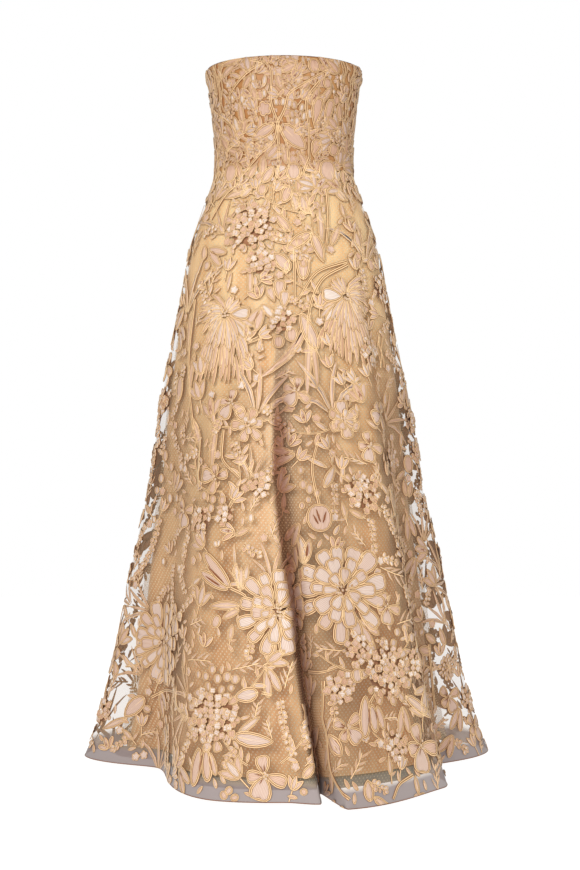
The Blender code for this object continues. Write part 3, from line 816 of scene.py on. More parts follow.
@dataclass(frozen=True)
class LacqueredZinc:
    """Cast zinc with a gold lacquer, softly polished, duller in its hollows."""

    name: str = "gold_lacquered_zinc"
    golds: tuple = ((0.3, "A67D3F"), (0.6, "C79B55"))

    def material(self) -> bpy.types.Material:
        """The metal's material, with faint cloudy wear."""
        sheet = NodeSheet(self.name, {"Metallic": 1.0})
        wear = sheet.noise(900.0, 2.0, sheet.place())
        return sheet.feed({
            "Base Color": sheet.ramp(wear, self.golds),
            "Roughness": sheet.mapped(wear, {"To Min": 0.28, "To Max": 0.45}),
        })


@dataclass
class Finishes:
    """The materials of the gown, each made once."""

    stitch: bpy.types.Material = field(default_factory=lambda: SatinStitch().material())
    cord: bpy.types.Material = field(default_factory=lambda: BraidedCord().material())
    tulle: bpy.types.Material = field(default_factory=lambda: SheerTulle().material())
    net: bpy.types.Material = field(default_factory=lambda: SpottedNet().material())
    hem_net: bpy.types.Material = field(default_factory=lambda: HEM_NET_DOUBLED_AND_SHADED.material())
    lining: bpy.types.Material = field(default_factory=lambda: SatinLining().material())
    bodice: bpy.types.Material = field(default_factory=lambda: CREPE_BODICE.material())
    tape: bpy.types.Material = field(default_factory=lambda: WovenTape().material())
    metal: bpy.types.Material = field(default_factory=lambda: LacqueredZinc().material())


def show(name: str, mesh: bpy.types.Mesh, body: str) -> bpy.types.Object:
    """Puts a mesh in the scene as a piece that rides with a body.

    Args:
        name: The piece's name.
        mesh: Its mesh.
        body: The body that it rides with.

    Returns:
        The piece.
    """
    piece = bpy.data.objects.new(name, mesh)
    bpy.context.scene.collection.objects.link(piece)
    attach(piece, body)
    return piece


@dataclass
class ClothLayer:
    """One layer of cloth round the gown, made of its cut panels."""

    form: GownForm
    name: str
    layer: Layer
    top: float
    bottom: float
    finish: bpy.types.Material
    slot: str
    nodes: str
    inset: float = 0.0
    columns_a_fold: int = 20
    row_height: float = 0.010
    seam_share: float = 0.0012

    def panel(self, panel: Panel, flat: tuple[float, float], held: str) -> bpy.types.Object:
        """Args:
            panel: The panel.
            flat: Width and length of the cloth that it was cut from; not used.
            held: How the cloth is held; not used.

        Returns:
            The panel's piece.
        """
        columns = int((panel.end - panel.start) * self.columns_a_fold)
        rows = max(3, int(round((self.top - self.bottom) / self.row_height)))
        grid = bmesh.new()
        bmesh.ops.create_grid(grid, x_segments=columns, y_segments=rows, size=0.5)
        places = np.array([(vert.co.x + 0.5, vert.co.y + 0.5) for vert in grid.verts])
        around = panel.start + (panel.end - panel.start) * places[:, 0]
        around += np.clip(0.5 - places[:, 0], -0.5, 0.5) * 2 * self.seam_share
        height = self.bottom + (self.top - self.bottom) * places[:, 1]
        points = self.form.point(around, height, self.layer)
        points -= self.form.normal(around, height, self.layer) * self.inset
        along = self._round_length(around, height)
        uv = grid.loops.layers.uv.new("UVMap")
        for vert, point in zip(grid.verts, points):
            vert.co = point
        for face in grid.faces:
            for loop in face.loops:
                index = loop.vert.index
                loop[uv].uv = (along[index] / MM, height[index] / MM)
        mesh = bpy.data.meshes.new(f"{self.name}_{panel.name}")
        grid.normal_update()
        grid.to_mesh(mesh)
        grid.free()
        mesh.polygons.foreach_set("use_smooth", [True] * len(mesh.polygons))
        # Painted shade of the folds, the sides and the bodice, which the cloth's colours darken
        # with
        shade = mesh.attributes.new("shade", "FLOAT", "POINT")
        shade.data.foreach_set("value", self.form.shade(around, height).astype(np.float32))
        mesh.materials.append(self.finish)
        piece = show(mesh.name, mesh, "gown")
        if self.nodes:
            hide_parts(f"{self.nodes}_{panel.name}")
        return piece

    def _round_length(self, around: np.ndarray, height: np.ndarray) -> np.ndarray:
        """Length round the cloth from the centre front, at each point's own height."""
        row = np.clip(np.round(self.form.chart_row(height)), 0, self.form.rows - 1).astype(int)
        column = (around - self.form.first) * self.form.steps
        near = np.clip(column.astype(int), 0, len(self.form.positions) - 2)
        part = column - near
        table = self.form.lengths
        length = table[row, near] * (1 - part) + table[row, near + 1] * part
        middle = int((CENTRE_FRONT - self.form.first) * self.form.steps)
        return length - table[row, middle]


class Outline(Enum):
    """Shapes of a stitched piece: how it narrows to its base and to its tip."""

    BROAD = (0.80, 0.34)
    LONG = (0.55, 0.50)
    LEAF = (0.58, 0.74)
    BERRY = (0.50, 0.49)
    FINGER = (0.40, 0.75)
    SLIT = (0.70, 0.90)
    BED = (0.50, 0.50)


@dataclass(frozen=True)
class StitchedPiece:
    """A stitched piece lying flat: its vertices, triangles and what each triangle wears."""

    vertices: np.ndarray
    triangles: np.ndarray
    uv: np.ndarray
    is_cord: np.ndarray
    length: float


# Rings of a raised edge: share of its width, share of its height, place in the cord's colours
DOUBLE_CORD = ((0.25, 1.0, 0.25), (0.5, 0.5, 0.5), (0.75, 1.0, 0.75), (1.0, 0.4, 1.0))
SINGLE_CORD = ((0.5, 1.0, 0.25), (1.0, 0.45, 0.48))
DOUBLE_FROM_MM = 13
# A cord narrower than this has one crest
SLIM_CORD = 0.0036
# A sewn cord is laid in pieces about so long, and rises by a share of its width
CORD_PIECE = 0.040
CORD_RISE = 0.34
FILLING_RISE = 0.35 * MM
DEEPEST_DRAW = 0.9
# Points of a border by the piece's width in mm; the narrowest pieces have a plain filling
NARROW_POINTS, MIDDLE_POINTS, WIDE_POINTS = 8, 10, 14
MIDDLE_FROM_MM, WIDE_FROM_MM = 8, 16


def petal_border(shape: Outline, length: float, width: float, points: int) -> np.ndarray:
    """Border of a petal or leaf that grows from the origin towards +Y.

    Args:
        shape: How it narrows to its ends.
        length: Its length.
        width: Its greatest width.
        points: How many points the border has, an even number.

    Returns:
        The border's points, against the clock.
    """
    base, tip = shape.value
    half = points // 2
    y = (1 - np.cos(np.pi * np.arange(half + 1) / half)) / 2
    widest = base / (base + tip)
    reach = y**base * (1 - y) ** tip / (widest**base * (1 - widest) ** tip) * width / 2
    right = np.column_stack([reach, y * length])
    left = np.column_stack([-reach[-2:0:-1], y[-2:0:-1] * length])
    return np.concatenate([right, left])


def lobed_border(lobes: int, radius: float, notch: float, per_lobe: int) -> np.ndarray:
    """Border of a small flower with round lobes about the origin.

    Args:
        lobes: How many lobes it has.
        radius: Its reach.
        notch: How far the notches cut in, as a share of the reach.
        per_lobe: How many points a lobe has.

    Returns:
        The border's points, against the clock.
    """
    angle = 2 * np.pi * np.arange(lobes * per_lobe) / (lobes * per_lobe)
    reach = radius * (1 - notch * (1 - np.abs(np.sin(angle * lobes / 2))) ** 1.5)
    return np.column_stack([reach * np.cos(angle), reach * np.sin(angle)])


def stitched(
    border: np.ndarray, spine: np.ndarray, cord: float, rings: tuple, rise: float, heart: float
) -> StitchedPiece:
    """Raises a corded edge and a stitched filling inside a border.

    Args:
        border: The border's points, against the clock.
        spine: The point that each border point draws in towards.
        cord: Width of the raised edge.
        rings: The edge's rings.
        rise: Height of the edge.
        heart: How far the middle lies above the filling, below it when negative.

    Returns:
        The stitched piece.
    """
    shape = bmesh.new()
    bmesh.ops.create_circle(shape, cap_ends=True, segments=len(border), radius=1.0)
    for vert, (x, y) in zip(shape.verts, border):
        vert.co = (x, y, 0.0)
    face = shape.faces[:][0]
    face.normal_update()
    if face.normal.z < 0:
        face.normal_flip()
    place = {vert: index for index, vert in enumerate(shape.verts)}
    across = {vert: 0.0 for vert in shape.verts}
    inward = spine - border
    room = np.maximum(np.linalg.norm(inward, axis=1), 1e-6)
    middle = max(cord, float(np.median(room)))
    steps = [(share * cord, high * rise, value, 1) for share, high, value in rings]
    if len(border) > NARROW_POINTS and heart >= 0:
        steps.append((0.5 * (middle + cord), rings[-1][1] * rise + FILLING_RISE, 1.0, 0))
    for draw, height, value, wears in steps:
        before = [place[vert] for vert in face.verts]
        made = bmesh.ops.inset_individual(shape, faces=[face], thickness=1e-6, depth=0.0)
        for side in made["faces"]:
            side.material_index = wears
        for vert, index in zip(face.verts, before):
            place[vert], across[vert] = index, value
            x, y = border[index] + inward[index] * min(DEEPEST_DRAW, draw / room[index])
            vert.co = (x, y, height)
    centre = bmesh.ops.poke(shape, faces=[face])["verts"][0]
    centre.co.z += heart
    across[centre] = 1.0
    bmesh.ops.triangulate(shape, faces=shape.faces[:])
    shape.verts.index_update()
    vertices = np.array([vert.co for vert in shape.verts])
    triangles = np.array([[vert.index for vert in side.verts] for side in shape.faces])
    is_cord = np.array([side.material_index for side in shape.faces])
    values = np.array([across[vert] for vert in shape.verts])
    shape.free()
    corners = triangles.reshape(-1)
    on_cord = np.repeat(is_cord, 3).astype(bool)
    along = (vertices[corners, 0] + vertices[corners, 1]) / MM
    uv = np.column_stack([along, np.where(on_cord, values[corners], vertices[corners, 0] / MM)])
    return StitchedPiece(vertices, triangles, uv, is_cord, max(float(np.max(border[:, 1])), 1e-4))


@lru_cache(maxsize=None)
def petal(shape: Outline, length_mm: int, width_mm: int, points: int) -> StitchedPiece:
    """A corded petal or leaf of whole millimetres, made once for each size.

    Args:
        shape: How it narrows to its ends.
        length_mm: Its length.
        width_mm: Its width.
        points: How many points its border has.

    Returns:
        The petal.
    """
    border = petal_border(shape, length_mm * MM, width_mm * MM, points)
    heights = np.clip(border[:, 1], 0.14 * length_mm * MM, 0.84 * length_mm * MM)
    spine = np.column_stack([0 * heights, heights])
    if shape in (Outline.SLIT, Outline.BED):
        return stitched(border, spine, 0.2 * MM, SINGLE_CORD, 0.3 * MM, 0.0)
    if width_mm < DOUBLE_FROM_MM:
        cord = 0.27 * width_mm * MM
        return stitched(border, spine, cord, SINGLE_CORD, 0.5 * cord, 0.25 * MM)
    cord = min(6.2, max(3.8, 0.25 * width_mm)) * MM
    return stitched(border, spine, cord, DOUBLE_CORD, CORD_RISE * cord, 0.3 * MM)


@lru_cache(maxsize=None)
def floret(lobes: int, radius_mm: int) -> StitchedPiece:
    """A small corded flower with a sunken heart, made once for each size."""
    border = lobed_border(lobes, radius_mm * MM, 0.26, 4)
    cord = 0.26 * radius_mm * MM
    return stitched(border, np.zeros_like(border), cord, SINGLE_CORD, 0.7 * cord, -1.0 * MM)


@lru_cache(maxsize=None)
def cord_run(slim: bool) -> StitchedPiece:
    """A cord one unit long and one unit wide: slim with one crest, or two with a groove."""
    strip = bmesh.new()
    bmesh.ops.create_grid(strip, x_segments=2 if slim else 4, y_segments=7, size=0.5)
    crests = {-0.5: 0.0, -0.25: 1.0, 0.0: 1.0 if slim else 0.45, 0.25: 1.0, 0.5: 0.0}
    bmesh.ops.triangulate(strip, faces=strip.faces[:])
    strip.verts.index_update()
    vertices = np.array(
        [(v.co.x, v.co.y + 0.5, crests[round(v.co.x * 4) / 4]) for v in strip.verts]
    )
    triangles = np.array([[vert.index for vert in side.verts] for side in strip.faces])
    strip.free()
    corners = vertices[triangles.reshape(-1)]
    # Across a slim cord runs from its painted foot shadow to its painted crest highlight
    across = 0.54 * (0.5 - np.abs(corners[:, 0])) if slim else corners[:, 0] + 0.5
    uv = np.column_stack([corners[:, 1] * CORD_PIECE / MM, across])
    return StitchedPiece(vertices, triangles, uv, np.ones(len(triangles), int), 1.0)


class Spot(NamedTuple):
    """Where a motif lies on the gown: its angle, height and turn against the clock."""

    angle: float
    z: float
    turn: float


def turned(x: np.ndarray, y: np.ndarray, turn: float, at: tuple[float, float]) -> tuple:
    """Points turned about the origin and moved."""
    cosine, sine = math.cos(turn), math.sin(turn)
    return cosine * x - sine * y + at[0], sine * x + cosine * y + at[1]


@dataclass
class Stitching:
    """Collects stitched pieces and lays them on the gown as one mesh."""

    form: GownForm
    name: str
    laid: list = field(default_factory=list)

    def add(
        self, spot: Spot, piece: StitchedPiece, at: tuple[float, float], turn: float,
        bend: float, lift: float, tilt: float, tone: float,
    ) -> None:
        """Adds a piece to a motif.

        Args:
            spot: The motif's place.
            piece: The stitched piece.
            at: Where its base lies in the motif.
            turn: Its turn in the motif, in radians against the clock.
            bend: Its curvature sideways, in radians a metre.
            lift: Its height above the cloth.
            tilt: How much higher its tip lies than its base.
            tone: Its shade, from 0, deep, to 1, pale.
        """
        x, y, height = piece.vertices.T
        tall = height + lift + tilt * y / piece.length
        if abs(bend) > 1e-6:
            swing = bend * y
            y = np.sin(swing) / bend - x * np.sin(swing)
            x = (1 - np.cos(swing)) / bend + x * np.cos(swing)
        self._keep(spot, piece, *turned(x, y, turn, at), tall, tone)

    def run(
        self, spot: Spot, path: np.ndarray, width: float, lift: float = 0.0003, taper: float = 0.0
    ) -> None:
        """Adds a double cord along a path in a motif.

        Args:
            spot: The motif's place.
            path: Points of the path.
            width: The cord's width.
            lift: Its height above the cloth.
            taper: How much of its width it loses towards its end.
        """
        piece = cord_run(width < SLIM_CORD)
        steps = np.concatenate([[0], np.cumsum(np.linalg.norm(np.diff(path, axis=0), axis=1))])
        pieces = max(1, int(round(steps[-1] / CORD_PIECE)))
        heading = np.gradient(path, axis=0)
        heading /= np.linalg.norm(heading, axis=1, keepdims=True)
        for index in range(pieces):
            at = (index + piece.vertices[:, 1]) / pieces * steps[-1]
            centre = np.column_stack([np.interp(at, steps, path[:, axis]) for axis in (0, 1)])
            ahead = np.column_stack([np.interp(at, steps, heading[:, axis]) for axis in (0, 1)])
            across = piece.vertices[:, 0] * width * (1 - taper * at / steps[-1])
            x = centre[:, 0] + ahead[:, 1] * across
            y = centre[:, 1] - ahead[:, 0] * across
            self._keep(spot, piece, x, y, piece.vertices[:, 2] * CORD_RISE * width + lift, 0.5)

    def _keep(
        self, spot: Spot, piece: StitchedPiece, x: np.ndarray, y: np.ndarray, tall: np.ndarray,
        tone: float,
    ) -> None:
        """Keeps a piece's points with its motif's place."""
        self.laid.append((spot, piece, *turned(x, y, spot.turn, (0.0, 0.0)), tall, tone))

    def make(self, finishes: Finishes) -> bpy.types.Object:
        """Lays all pieces on the gown as one mesh.

        Args:
            finishes: The gown's materials.

        Returns:
            The embroidery's piece.
        """
        sizes = np.array([len(row[2]) for row in self.laid])
        starts = np.concatenate([[0], np.cumsum(sizes)[:-1]])
        angle = np.repeat([row[0].angle for row in self.laid], sizes)
        z = np.repeat([row[0].z for row in self.laid], sizes)
        z += np.concatenate([row[3] for row in self.laid])
        z = np.clip(z, HEM_Z + 0.0005, NECKLINE_Z - 0.0005)
        around = self.form.follow(angle, z, np.concatenate([row[2] for row in self.laid]))
        tall = np.concatenate([row[4] for row in self.laid]) + 0.0002
        points = self.form.point(around, z, LACE)
        points += self.form.normal(around, z, LACE) * tall[:, None]
        faces = np.concatenate([row[1].triangles + start for row, start in zip(self.laid, starts)])
        mesh = bpy.data.meshes.new(self.name)
        mesh.from_pydata(points.tolist(), [], faces.tolist())
        wears = np.concatenate([row[1].is_cord for row in self.laid]).astype(np.int32)
        mesh.polygons.foreach_set("material_index", wears)
        mesh.polygons.foreach_set("use_smooth", np.ones(len(faces), bool))
        uv = np.concatenate([row[1].uv for row in self.laid])
        mesh.uv_layers.new(name="UVMap").data.foreach_set("uv", uv.astype(np.float32).ravel())
        tone = np.repeat([row[5] for row in self.laid], sizes)
        # tone is each piece's own colour; shade is the painted shade of the folds, the sides and
        # the bodice
        for name, values in (("tone", tone), ("shade", self.form.shade(around, z))):
            kept = mesh.attributes.new(name, "FLOAT", "POINT")
            kept.data.foreach_set("value", values.astype(np.float32))
        mesh.materials.append(finishes.stitch)
        mesh.materials.append(finishes.cord)
        mesh.update()
        LOG.info("%s: %d triangles", self.name, len(faces))
        return show(self.name, mesh, "gown")


class Kind(Enum):
    """The embroidery's motifs."""

    DAHLIA = "dahlia"
    CHRYSANTHEMUM = "chrysanthemum"
    HYDRANGEA = "hydrangea"
    BLOSSOM = "blossom"
    PANSY = "pansy"
    LEAF = "leaf"
    BUD = "bud"
    CALLA = "calla"
    TWIG = "twig"
    GARLAND = "garland"
    FLORET = "floret"
    REED = "reed"
    FAN = "fan"
    SCROLL = "scroll"


SLIM = (Kind.LEAF, Kind.TWIG, Kind.BUD, Kind.REED, Kind.GARLAND, Kind.SCROLL, Kind.CALLA)


class Motif(NamedTuple):
    """A listed motif: how far across to the wearer's left, its height, reach and turn."""

    kind: Kind
    across: float
    z: float
    size: float
    turn: float


class Mark(NamedTuple):
    """A listed stitched piece, from its base: its size in mm, its turn and its tone."""

    shape: Outline
    across: float
    z: float
    length: int
    width: int
    turn: float
    tone: float


class PetalRow(NamedTuple):
    """A row of the chrysanthemum's petals, by angles from upwards and shares of its reach."""

    count: int
    first: float
    last: float
    start: float
    length: float
    width: float
    fall: float
    lift: float
    tone: float


def marks(*groups: tuple[Outline, tuple]) -> tuple[Mark, ...]:
    """Marks from rows of plain numbers, in the order in which they are sewn.

    Args:
        groups: Outlines with rows: across, height, length and width in mm, turn in degrees,
            and tone in hundredths.

    Returns:
        The marks.
    """
    return tuple(
        Mark(shape, across / 1000, z / 1000, length, width, turn, tone / 100)
        for shape, rows in groups
        for across, z, length, width, turn, tone in rows
    )


def motifs(*groups: tuple[Kind, tuple]) -> tuple[Motif, ...]:
    """Motifs from rows of plain numbers, in the order in which they are sewn.

    Args:
        groups: Kinds with rows: across, height and reach in mm, and turn in degrees.

    Returns:
        The motifs.
    """
    return tuple(
        Motif(kind, across / 1000, z / 1000, size / 1000, turn)
        for kind, rows in groups
        for across, z, size, turn in rows
    )


CHRYSANTHEMUM = (
    PetalRow(10, 8.0, 128.0, 0.06, 0.74, 0.170, 1.15, 0.3, 0.50),
    PetalRow(9, 24.0, 120.0, 0.04, 0.48, 0.150, 1.20, 1.4, 0.66),
    PetalRow(5, -6.0, -72.0, 0.06, 0.46, 0.150, -0.25, 0.8, 0.60),
    PetalRow(1, -94.0, -95.0, 0.10, 0.56, 0.420, 0.10, 1.6, 0.92),
    PetalRow(5, -108.0, -156.0, 0.08, 0.86, 0.200, -0.30, 1.0, 0.76),
    PetalRow(14, 146.0, 220.0, 0.90, 0.86, 0.130, 0.0, 0.3, 0.42),
    PetalRow(14, 136.0, 226.0, 0.50, 0.82, 0.135, 0.0, 1.1, 0.54),
    PetalRow(12, 122.0, 234.0, 0.08, 0.78, 0.140, 0.0, 2.0, 0.62),
)

HAND_SET = marks(
    (Outline.LEAF, (
        (-15, 45, 54, 26, 114, 58), (-6, 45, 66, 34, -133, 58), (-13, 137, 34, 17, -161, 50),
        (0, 9, 39, 15, -177, 50),
    )),
    (Outline.BERRY, (
        (19, -59, 35, 32, 0, 60), (86, -59, 45, 40, 0, 55), (-104, -59, 40, 34, 1, 50),
    )),
    (Outline.LEAF, ((-105, 4, 42, 23, 22, 40),)),
    (Outline.BERRY, (
        (-94, 89, 17, 13, 6, 100), (-77, 85, 18, 15, -7, 100), (-56, 122, 17, 13, 6, 100),
    )),
    (Outline.LEAF, ((-37, 111, 26, 11, -4, 95),)),
    (Outline.BERRY, (
        (-35, 92, 16, 11, 6, 100), (-13, 77, 14, 11, 7, 95), (-3, 77, 15, 11, -15, 100),
        (32, 67, 16, 13, -7, 100), (36, 51, 18, 13, -6, 100), (25, 41, 18, 15, 6, 90),
        (21, 71, 16, 13, 13, 70), (17, 55, 16, 13, 13, 60),
    )),
    (Outline.BROAD, ((57, 41, 56, 26, -2, 50), (76, 40, 57, 21, -7, 50),)),
    (Outline.LEAF, (
        (12, -69, 39, 26, 154, 50), (25, -90, 32, 17, 170, 55), (42, -84, 37, 17, 180, 50),
        (-64, -73, 53, 19, 109, 50),
    )),
    (Outline.BROAD, ((55, -13, 36, 23, -12, 45),)),
    (Outline.BERRY, ((92, -8, 26, 27, -4, 45),)),
    (Outline.LONG, ((119, -2, 38, 17, 7, 40),)),
    (Outline.BERRY, (
        (103, 31, 15, 15, -7, 95), (57, 139, 28, 28, 0, 50), (81, 112, 21, 21, 0, 50),
        (101, 161, 14, 9, -25, 100), (106, 132, 14, 11, -8, 100), (93, 105, 9, 9, 0, 100),
    )),
    (Outline.LEAF, (
        (27, -3, 42, 17, -151, 50), (-41, -64, 40, 23, -31, 55), (-69, -55, 36, 17, -28, 45),
        (-81, -54, 44, 17, 21, 40), (-33, 1, 43, 15, 77, 50), (-64, -13, 29, 15, 15, 50),
        (-85, 35, 32, 17, 10, 90), (-77, 32, 30, 17, -23, 40), (-56, 48, 16, 9, 35, 60),
        (-52, 50, 13, 9, -25, 60), (-98, 54, 40, 15, 55, 85), (-50, 84, 30, 17, 11, 45),
        (-75, 111, 31, 17, -30, 45), (30, 104, 30, 15, -43, 50), (23, 111, 37, 13, -21, 85),
        (-5, 139, 35, 21, -59, 50), (25, 153, 22, 17, 58, 50), (-117, 165, 47, 17, -81, 45),
        (107, 59, 36, 19, 23, 40), (113, -29, 35, 17, 166, 40), (53, -52, 41, 15, -28, 45),
        (64, 26, 27, 13, -60, 50), (95, -72, 30, 19, -141, 55), (-105, -272, 40, 9, -2, 60),
        (-62, -285, 67, 13, 4, 55), (12, -235, 47, 28, 36, 60), (36, -252, 63, 28, -2, 55),
        (53, -159, 67, 26, 120, 50), (51, -158, 62, 24, -157, 55), (12, -160, 48, 20, 33, 50),
        (40, -127, 43, 21, 0, 60), (25, -119, 36, 17, 9, 60), (71, -182, 77, 15, -7, 60),
        (88, -183, 48, 17, -32, 50), (120, -93, 29, 19, 36, 60), (-81, -89, 29, 19, -46, 60),
    )),
    (Outline.BERRY, ((-41, -88, 23, 23, 0, 50), (-145, -227, 18, 19, 1, 60),)),
    (Outline.LEAF, ((-151, -207, 31, 19, 12, 50),)),
    (Outline.BERRY, ((-9, -379, 24, 24, 0, 55), (15, -368, 28, 27, 0, 55),)),
    (Outline.BROAD, (
        (-9, -288, 38, 26, -3, 60), (-16, -293, 31, 18, 25, 60), (1, -305, 34, 22, -3, 70),
    )),
    (Outline.LEAF, ((-18, -322, 36, 18, 38, 90), (142, -186, 36, 21, -1, 55),)),
    (Outline.BERRY, ((166, -226, 24, 23, -1, 50),)),
    (Outline.LEAF, (
        (50, -310, 170, 17, 163, 50), (50, -321, 150, 15, 171, 55), (46, -344, 109, 15, -170, 50),
        (-173, -300, 81, 15, 176, 40), (-164, -381, 88, 17, 168, 45),
    )),
    (Outline.LONG, ((-196, -474, 50, 28, 4, 55),)),
    (Outline.BERRY, (
        (-191, -418, 19, 17, -11, 55), (-224, -587, 23, 19, 8, 60), (-211, -605, 18, 17, 2, 65),
        (-231, -628, 19, 17, 9, 80), (-242, -649, 15, 15, 3, 70), (-213, -665, 20, 18, 8, 90),
        (-199, -662, 16, 16, -5, 80), (-143, -655, 18, 18, 1, 60), (-127, -660, 16, 16, 1, 55),
        (-130, -676, 16, 16, 1, 70), (-110, -661, 16, 16, -6, 60), (-118, -736, 13, 11, 25, 100),
        (-118, -736, 15, 11, -20, 100), (-58, -692, 18, 14, 0, 100),
    )),
    (Outline.LEAF, ((-84, -771, 46, 7, 12, 80),)),
    (Outline.LONG, ((-92, -806, 86, 26, 45, 60), (-96, -809, 71, 23, 65, 60),)),
    (Outline.SLIT, ((-103, -798, 49, 4, 52, 0), (-110, -803, 37, 4, 64, 0),)),
    (Outline.LEAF, (
        (-76, -809, 50, 14, 15, 80), (-71, -809, 49, 14, -10, 70), (-75, -811, 43, 16, 0, 60),
        (-74, -836, 61, 19, 86, 60), (-76, -841, 36, 16, 117, 55),
    )),
    (Outline.BERRY, (
        (-122, -876, 25, 23, -16, 60), (-226, -782, 16, 15, 2, 100), (-245, -704, 15, 15, 21, 100),
    )),
    (Outline.LEAF, (
        (-153, -563, 73, 16, 16, 50), (-129, -599, 92, 16, 8, 50), (71, -631, 49, 20, -34, 75),
        (78, -595, 43, 11, 60, 75),
    )),
    (Outline.BERRY, (
        (31, -606, 14, 13, 0, 70), (35, -632, 16, 16, 0, 60), (46, -641, 18, 16, -6, 65),
        (58, -647, 15, 14, -14, 60), (44, -657, 12, 12, 0, 70), (33, -668, 14, 12, 0, 60),
        (65, -708, 51, 51, 0, 60),
    )),
    (Outline.SLIT, (
        (65, -691, 26, 4, 16, 0), (69, -692, 22, 4, -19, 0), (61, -694, 20, 4, 27, 0),
    )),
    (Outline.LEAF, (
        (35, -762, 46, 19, 20, 55), (36, -762, 46, 19, -18, 60), (35, -763, 54, 21, 0, 80),
    )),
    (Outline.SLIT, ((29, -750, 23, 4, 9, 0), (40, -750, 23, 4, -9, 0),)),
    (Outline.LEAF, ((88, -714, 24, 12, -37, 70),)),
    (Outline.BERRY, (
        (33, -791, 22, 16, 0, 30), (33, -863, 20, 17, 0, 25), (237, -609, 36, 34, -2, 50),
    )),
    (Outline.LEAF, ((232, -653, 34, 19, 12, 40), (236, -655, 35, 17, -30, 40),)),
    (Outline.BERRY, ((97, -531, 26, 25, -5, 60),)),
    (Outline.BROAD, ((121, -538, 47, 33, -1, 60),)),
    (Outline.BERRY, (
        (-135, -966, 15, 16, 1, 70), (-124, -953, 15, 16, -6, 70), (-149, -965, 15, 14, 1, 70),
        (-114, -969, 17, 16, 1, 80), (-98, -965, 17, 17, -5, 70), (-84, -968, 17, 17, -5, 70),
        (-91, -981, 13, 14, -7, 80),
    )),
    (Outline.LONG, (
        (-144, -1077, 68, 26, 175, 60), (-133, -1076, 58, 24, -169, 60),
        (-126, -1082, 42, 15, -157, 60),
    )),
    (Outline.SLIT, ((-138, -1086, 39, 4, 176, 10), (-126, -1088, 27, 3, -160, 10),)),
    (Outline.LEAF, (
        (-42, -980, 44, 28, 107, 75), (-78, -1049, 48, 15, -56, 70), (-86, -1052, 73, 28, -106, 70),
        (-261, -1033, 60, 34, 125, 65), (-296, -1075, 64, 16, 112, 65),
    )),
    (Outline.BERRY, (
        (-250, -1057, 18, 16, 67, 65), (-97, -1157, 16, 15, 32, 60), (-97, -1149, 16, 15, -33, 65),
        (-90, -1155, 16, 14, -76, 60), (201, -895, 15, 16, -8, 70), (216, -890, 15, 16, -9, 70),
        (230, -909, 17, 18, -2, 70), (245, -918, 15, 18, -9, 70), (257, -915, 13, 15, -31, 75),
    )),
    (Outline.LONG, (
        (141, -984, 73, 26, 169, 65), (151, -999, 49, 23, -179, 65), (160, -1003, 43, 17, -169, 60),
    )),
    (Outline.SLIT, ((146, -1005, 36, 4, 173, 10), (157, -1009, 24, 3, -172, 10),)),
    (Outline.BERRY, ((129, -964, 25, 26, 3, 70),)),
    (Outline.LEAF, (
        (231, -996, 49, 16, -82, 65), (214, -996, 81, 23, -127, 65), (279, -950, 34, 22, 74, 50),
        (78, -1043, 54, 22, -135, 60), (75, -1042, 34, 9, -18, 70), (75, -1063, 50, 15, -167, 60),
        (81, -1111, 46, 15, -135, 60), (147, -1153, 36, 22, 5, 65), (152, -1145, 43, 17, -133, 60),
    )),
    (Outline.BERRY, (
        (102, -1172, 16, 17, 13, 60), (88, -1168, 14, 15, 14, 60), (119, -1174, 14, 15, 14, 60),
    )),
    (Outline.LEAF, (
        (289, -933, 32, 17, 53, 50), (310, -943, 40, 17, 17, 50), (34, -1119, 32, 17, -39, 55),
    )),
    (Outline.BERRY, ((37, -1147, 13, 15, 15, 55),)),
    (Outline.LEAF, ((252, -1172, 30, 16, 60, 55),)),
)
FRONT = motifs(
    (Kind.HYDRANGEA, ((-63, -147, 46, 10),)),
    (Kind.CHRYSANTHEMUM, ((-108, -314, 52, 4), (116, -280, 50, -6),)),
    (Kind.HYDRANGEA, (
        (-4, -327, 24, 0), (-105, -679, 18, 0), (142, -639, 36, 0), (-42, -625, 22, 0),
    )),
    (Kind.DAHLIA, ((104, -808, 70, 6), (-8, -842, 63, 14), (-223, -925, 61, 0),)),
    (Kind.HYDRANGEA, ((-125, -1025, 51, 15), (181, -951, 52, 0),)),
    (Kind.PANSY, ((-31, -1116, 39, 0), (240, -1082, 44, 0),)),
    (Kind.TWIG, (
        (-146, -931, 35, -80), (200, -789, 36, -118), (225, -868, 34, -80), (-153, -869, 21, -70),
    )),
    (Kind.BLOSSOM, ((108, -509, 33, 0), (-64, -518, 29, 0),)),
    (Kind.DAHLIA, ((314, -984, 21, 0),)),
    (Kind.GARLAND, ((-243, -766, 74, 0), (-205, -816, 43, 0), (159, -716, 32, 0),)),
    (Kind.FLORET, ((-36, 73, 15, 0), (-45, -83, 13, 0),)),
    (Kind.SCROLL, (
        (-120, 124, 46, 2), (126, 114, 57, -2), (-130, 143, 31, 4), (114, 153, 23, 0),
        (138, 55, 39, -3), (130, -4, 43, 0), (-125, -16, 39, 0), (181, -376, 34, 0),
    )),
    (Kind.FLORET, ((-152, -628, 11, 0), (-56, 2, 15, 0),)),
    (Kind.BLOSSOM, ((-56, 0, 15, 20), (32, -200, 24, 20),)),
    (Kind.LEAF, ((48, -350, 44, 18),)),
    (Kind.REED, ((-30, -440, 60, -14), (70, -440, 60, 16),)),
    (Kind.GARLAND, ((-190, -438, 36, 0), (190, -700, 40, 10),)),
    (Kind.REED, ((-178, -250, 56, 4), (150, -160, 50, -12), (-118, -120, 40, 20),)),
    (Kind.LEAF, ((252, -1010, 40, -28),)),
    (Kind.GARLAND, ((0, -1040, 50, 6),)),
)
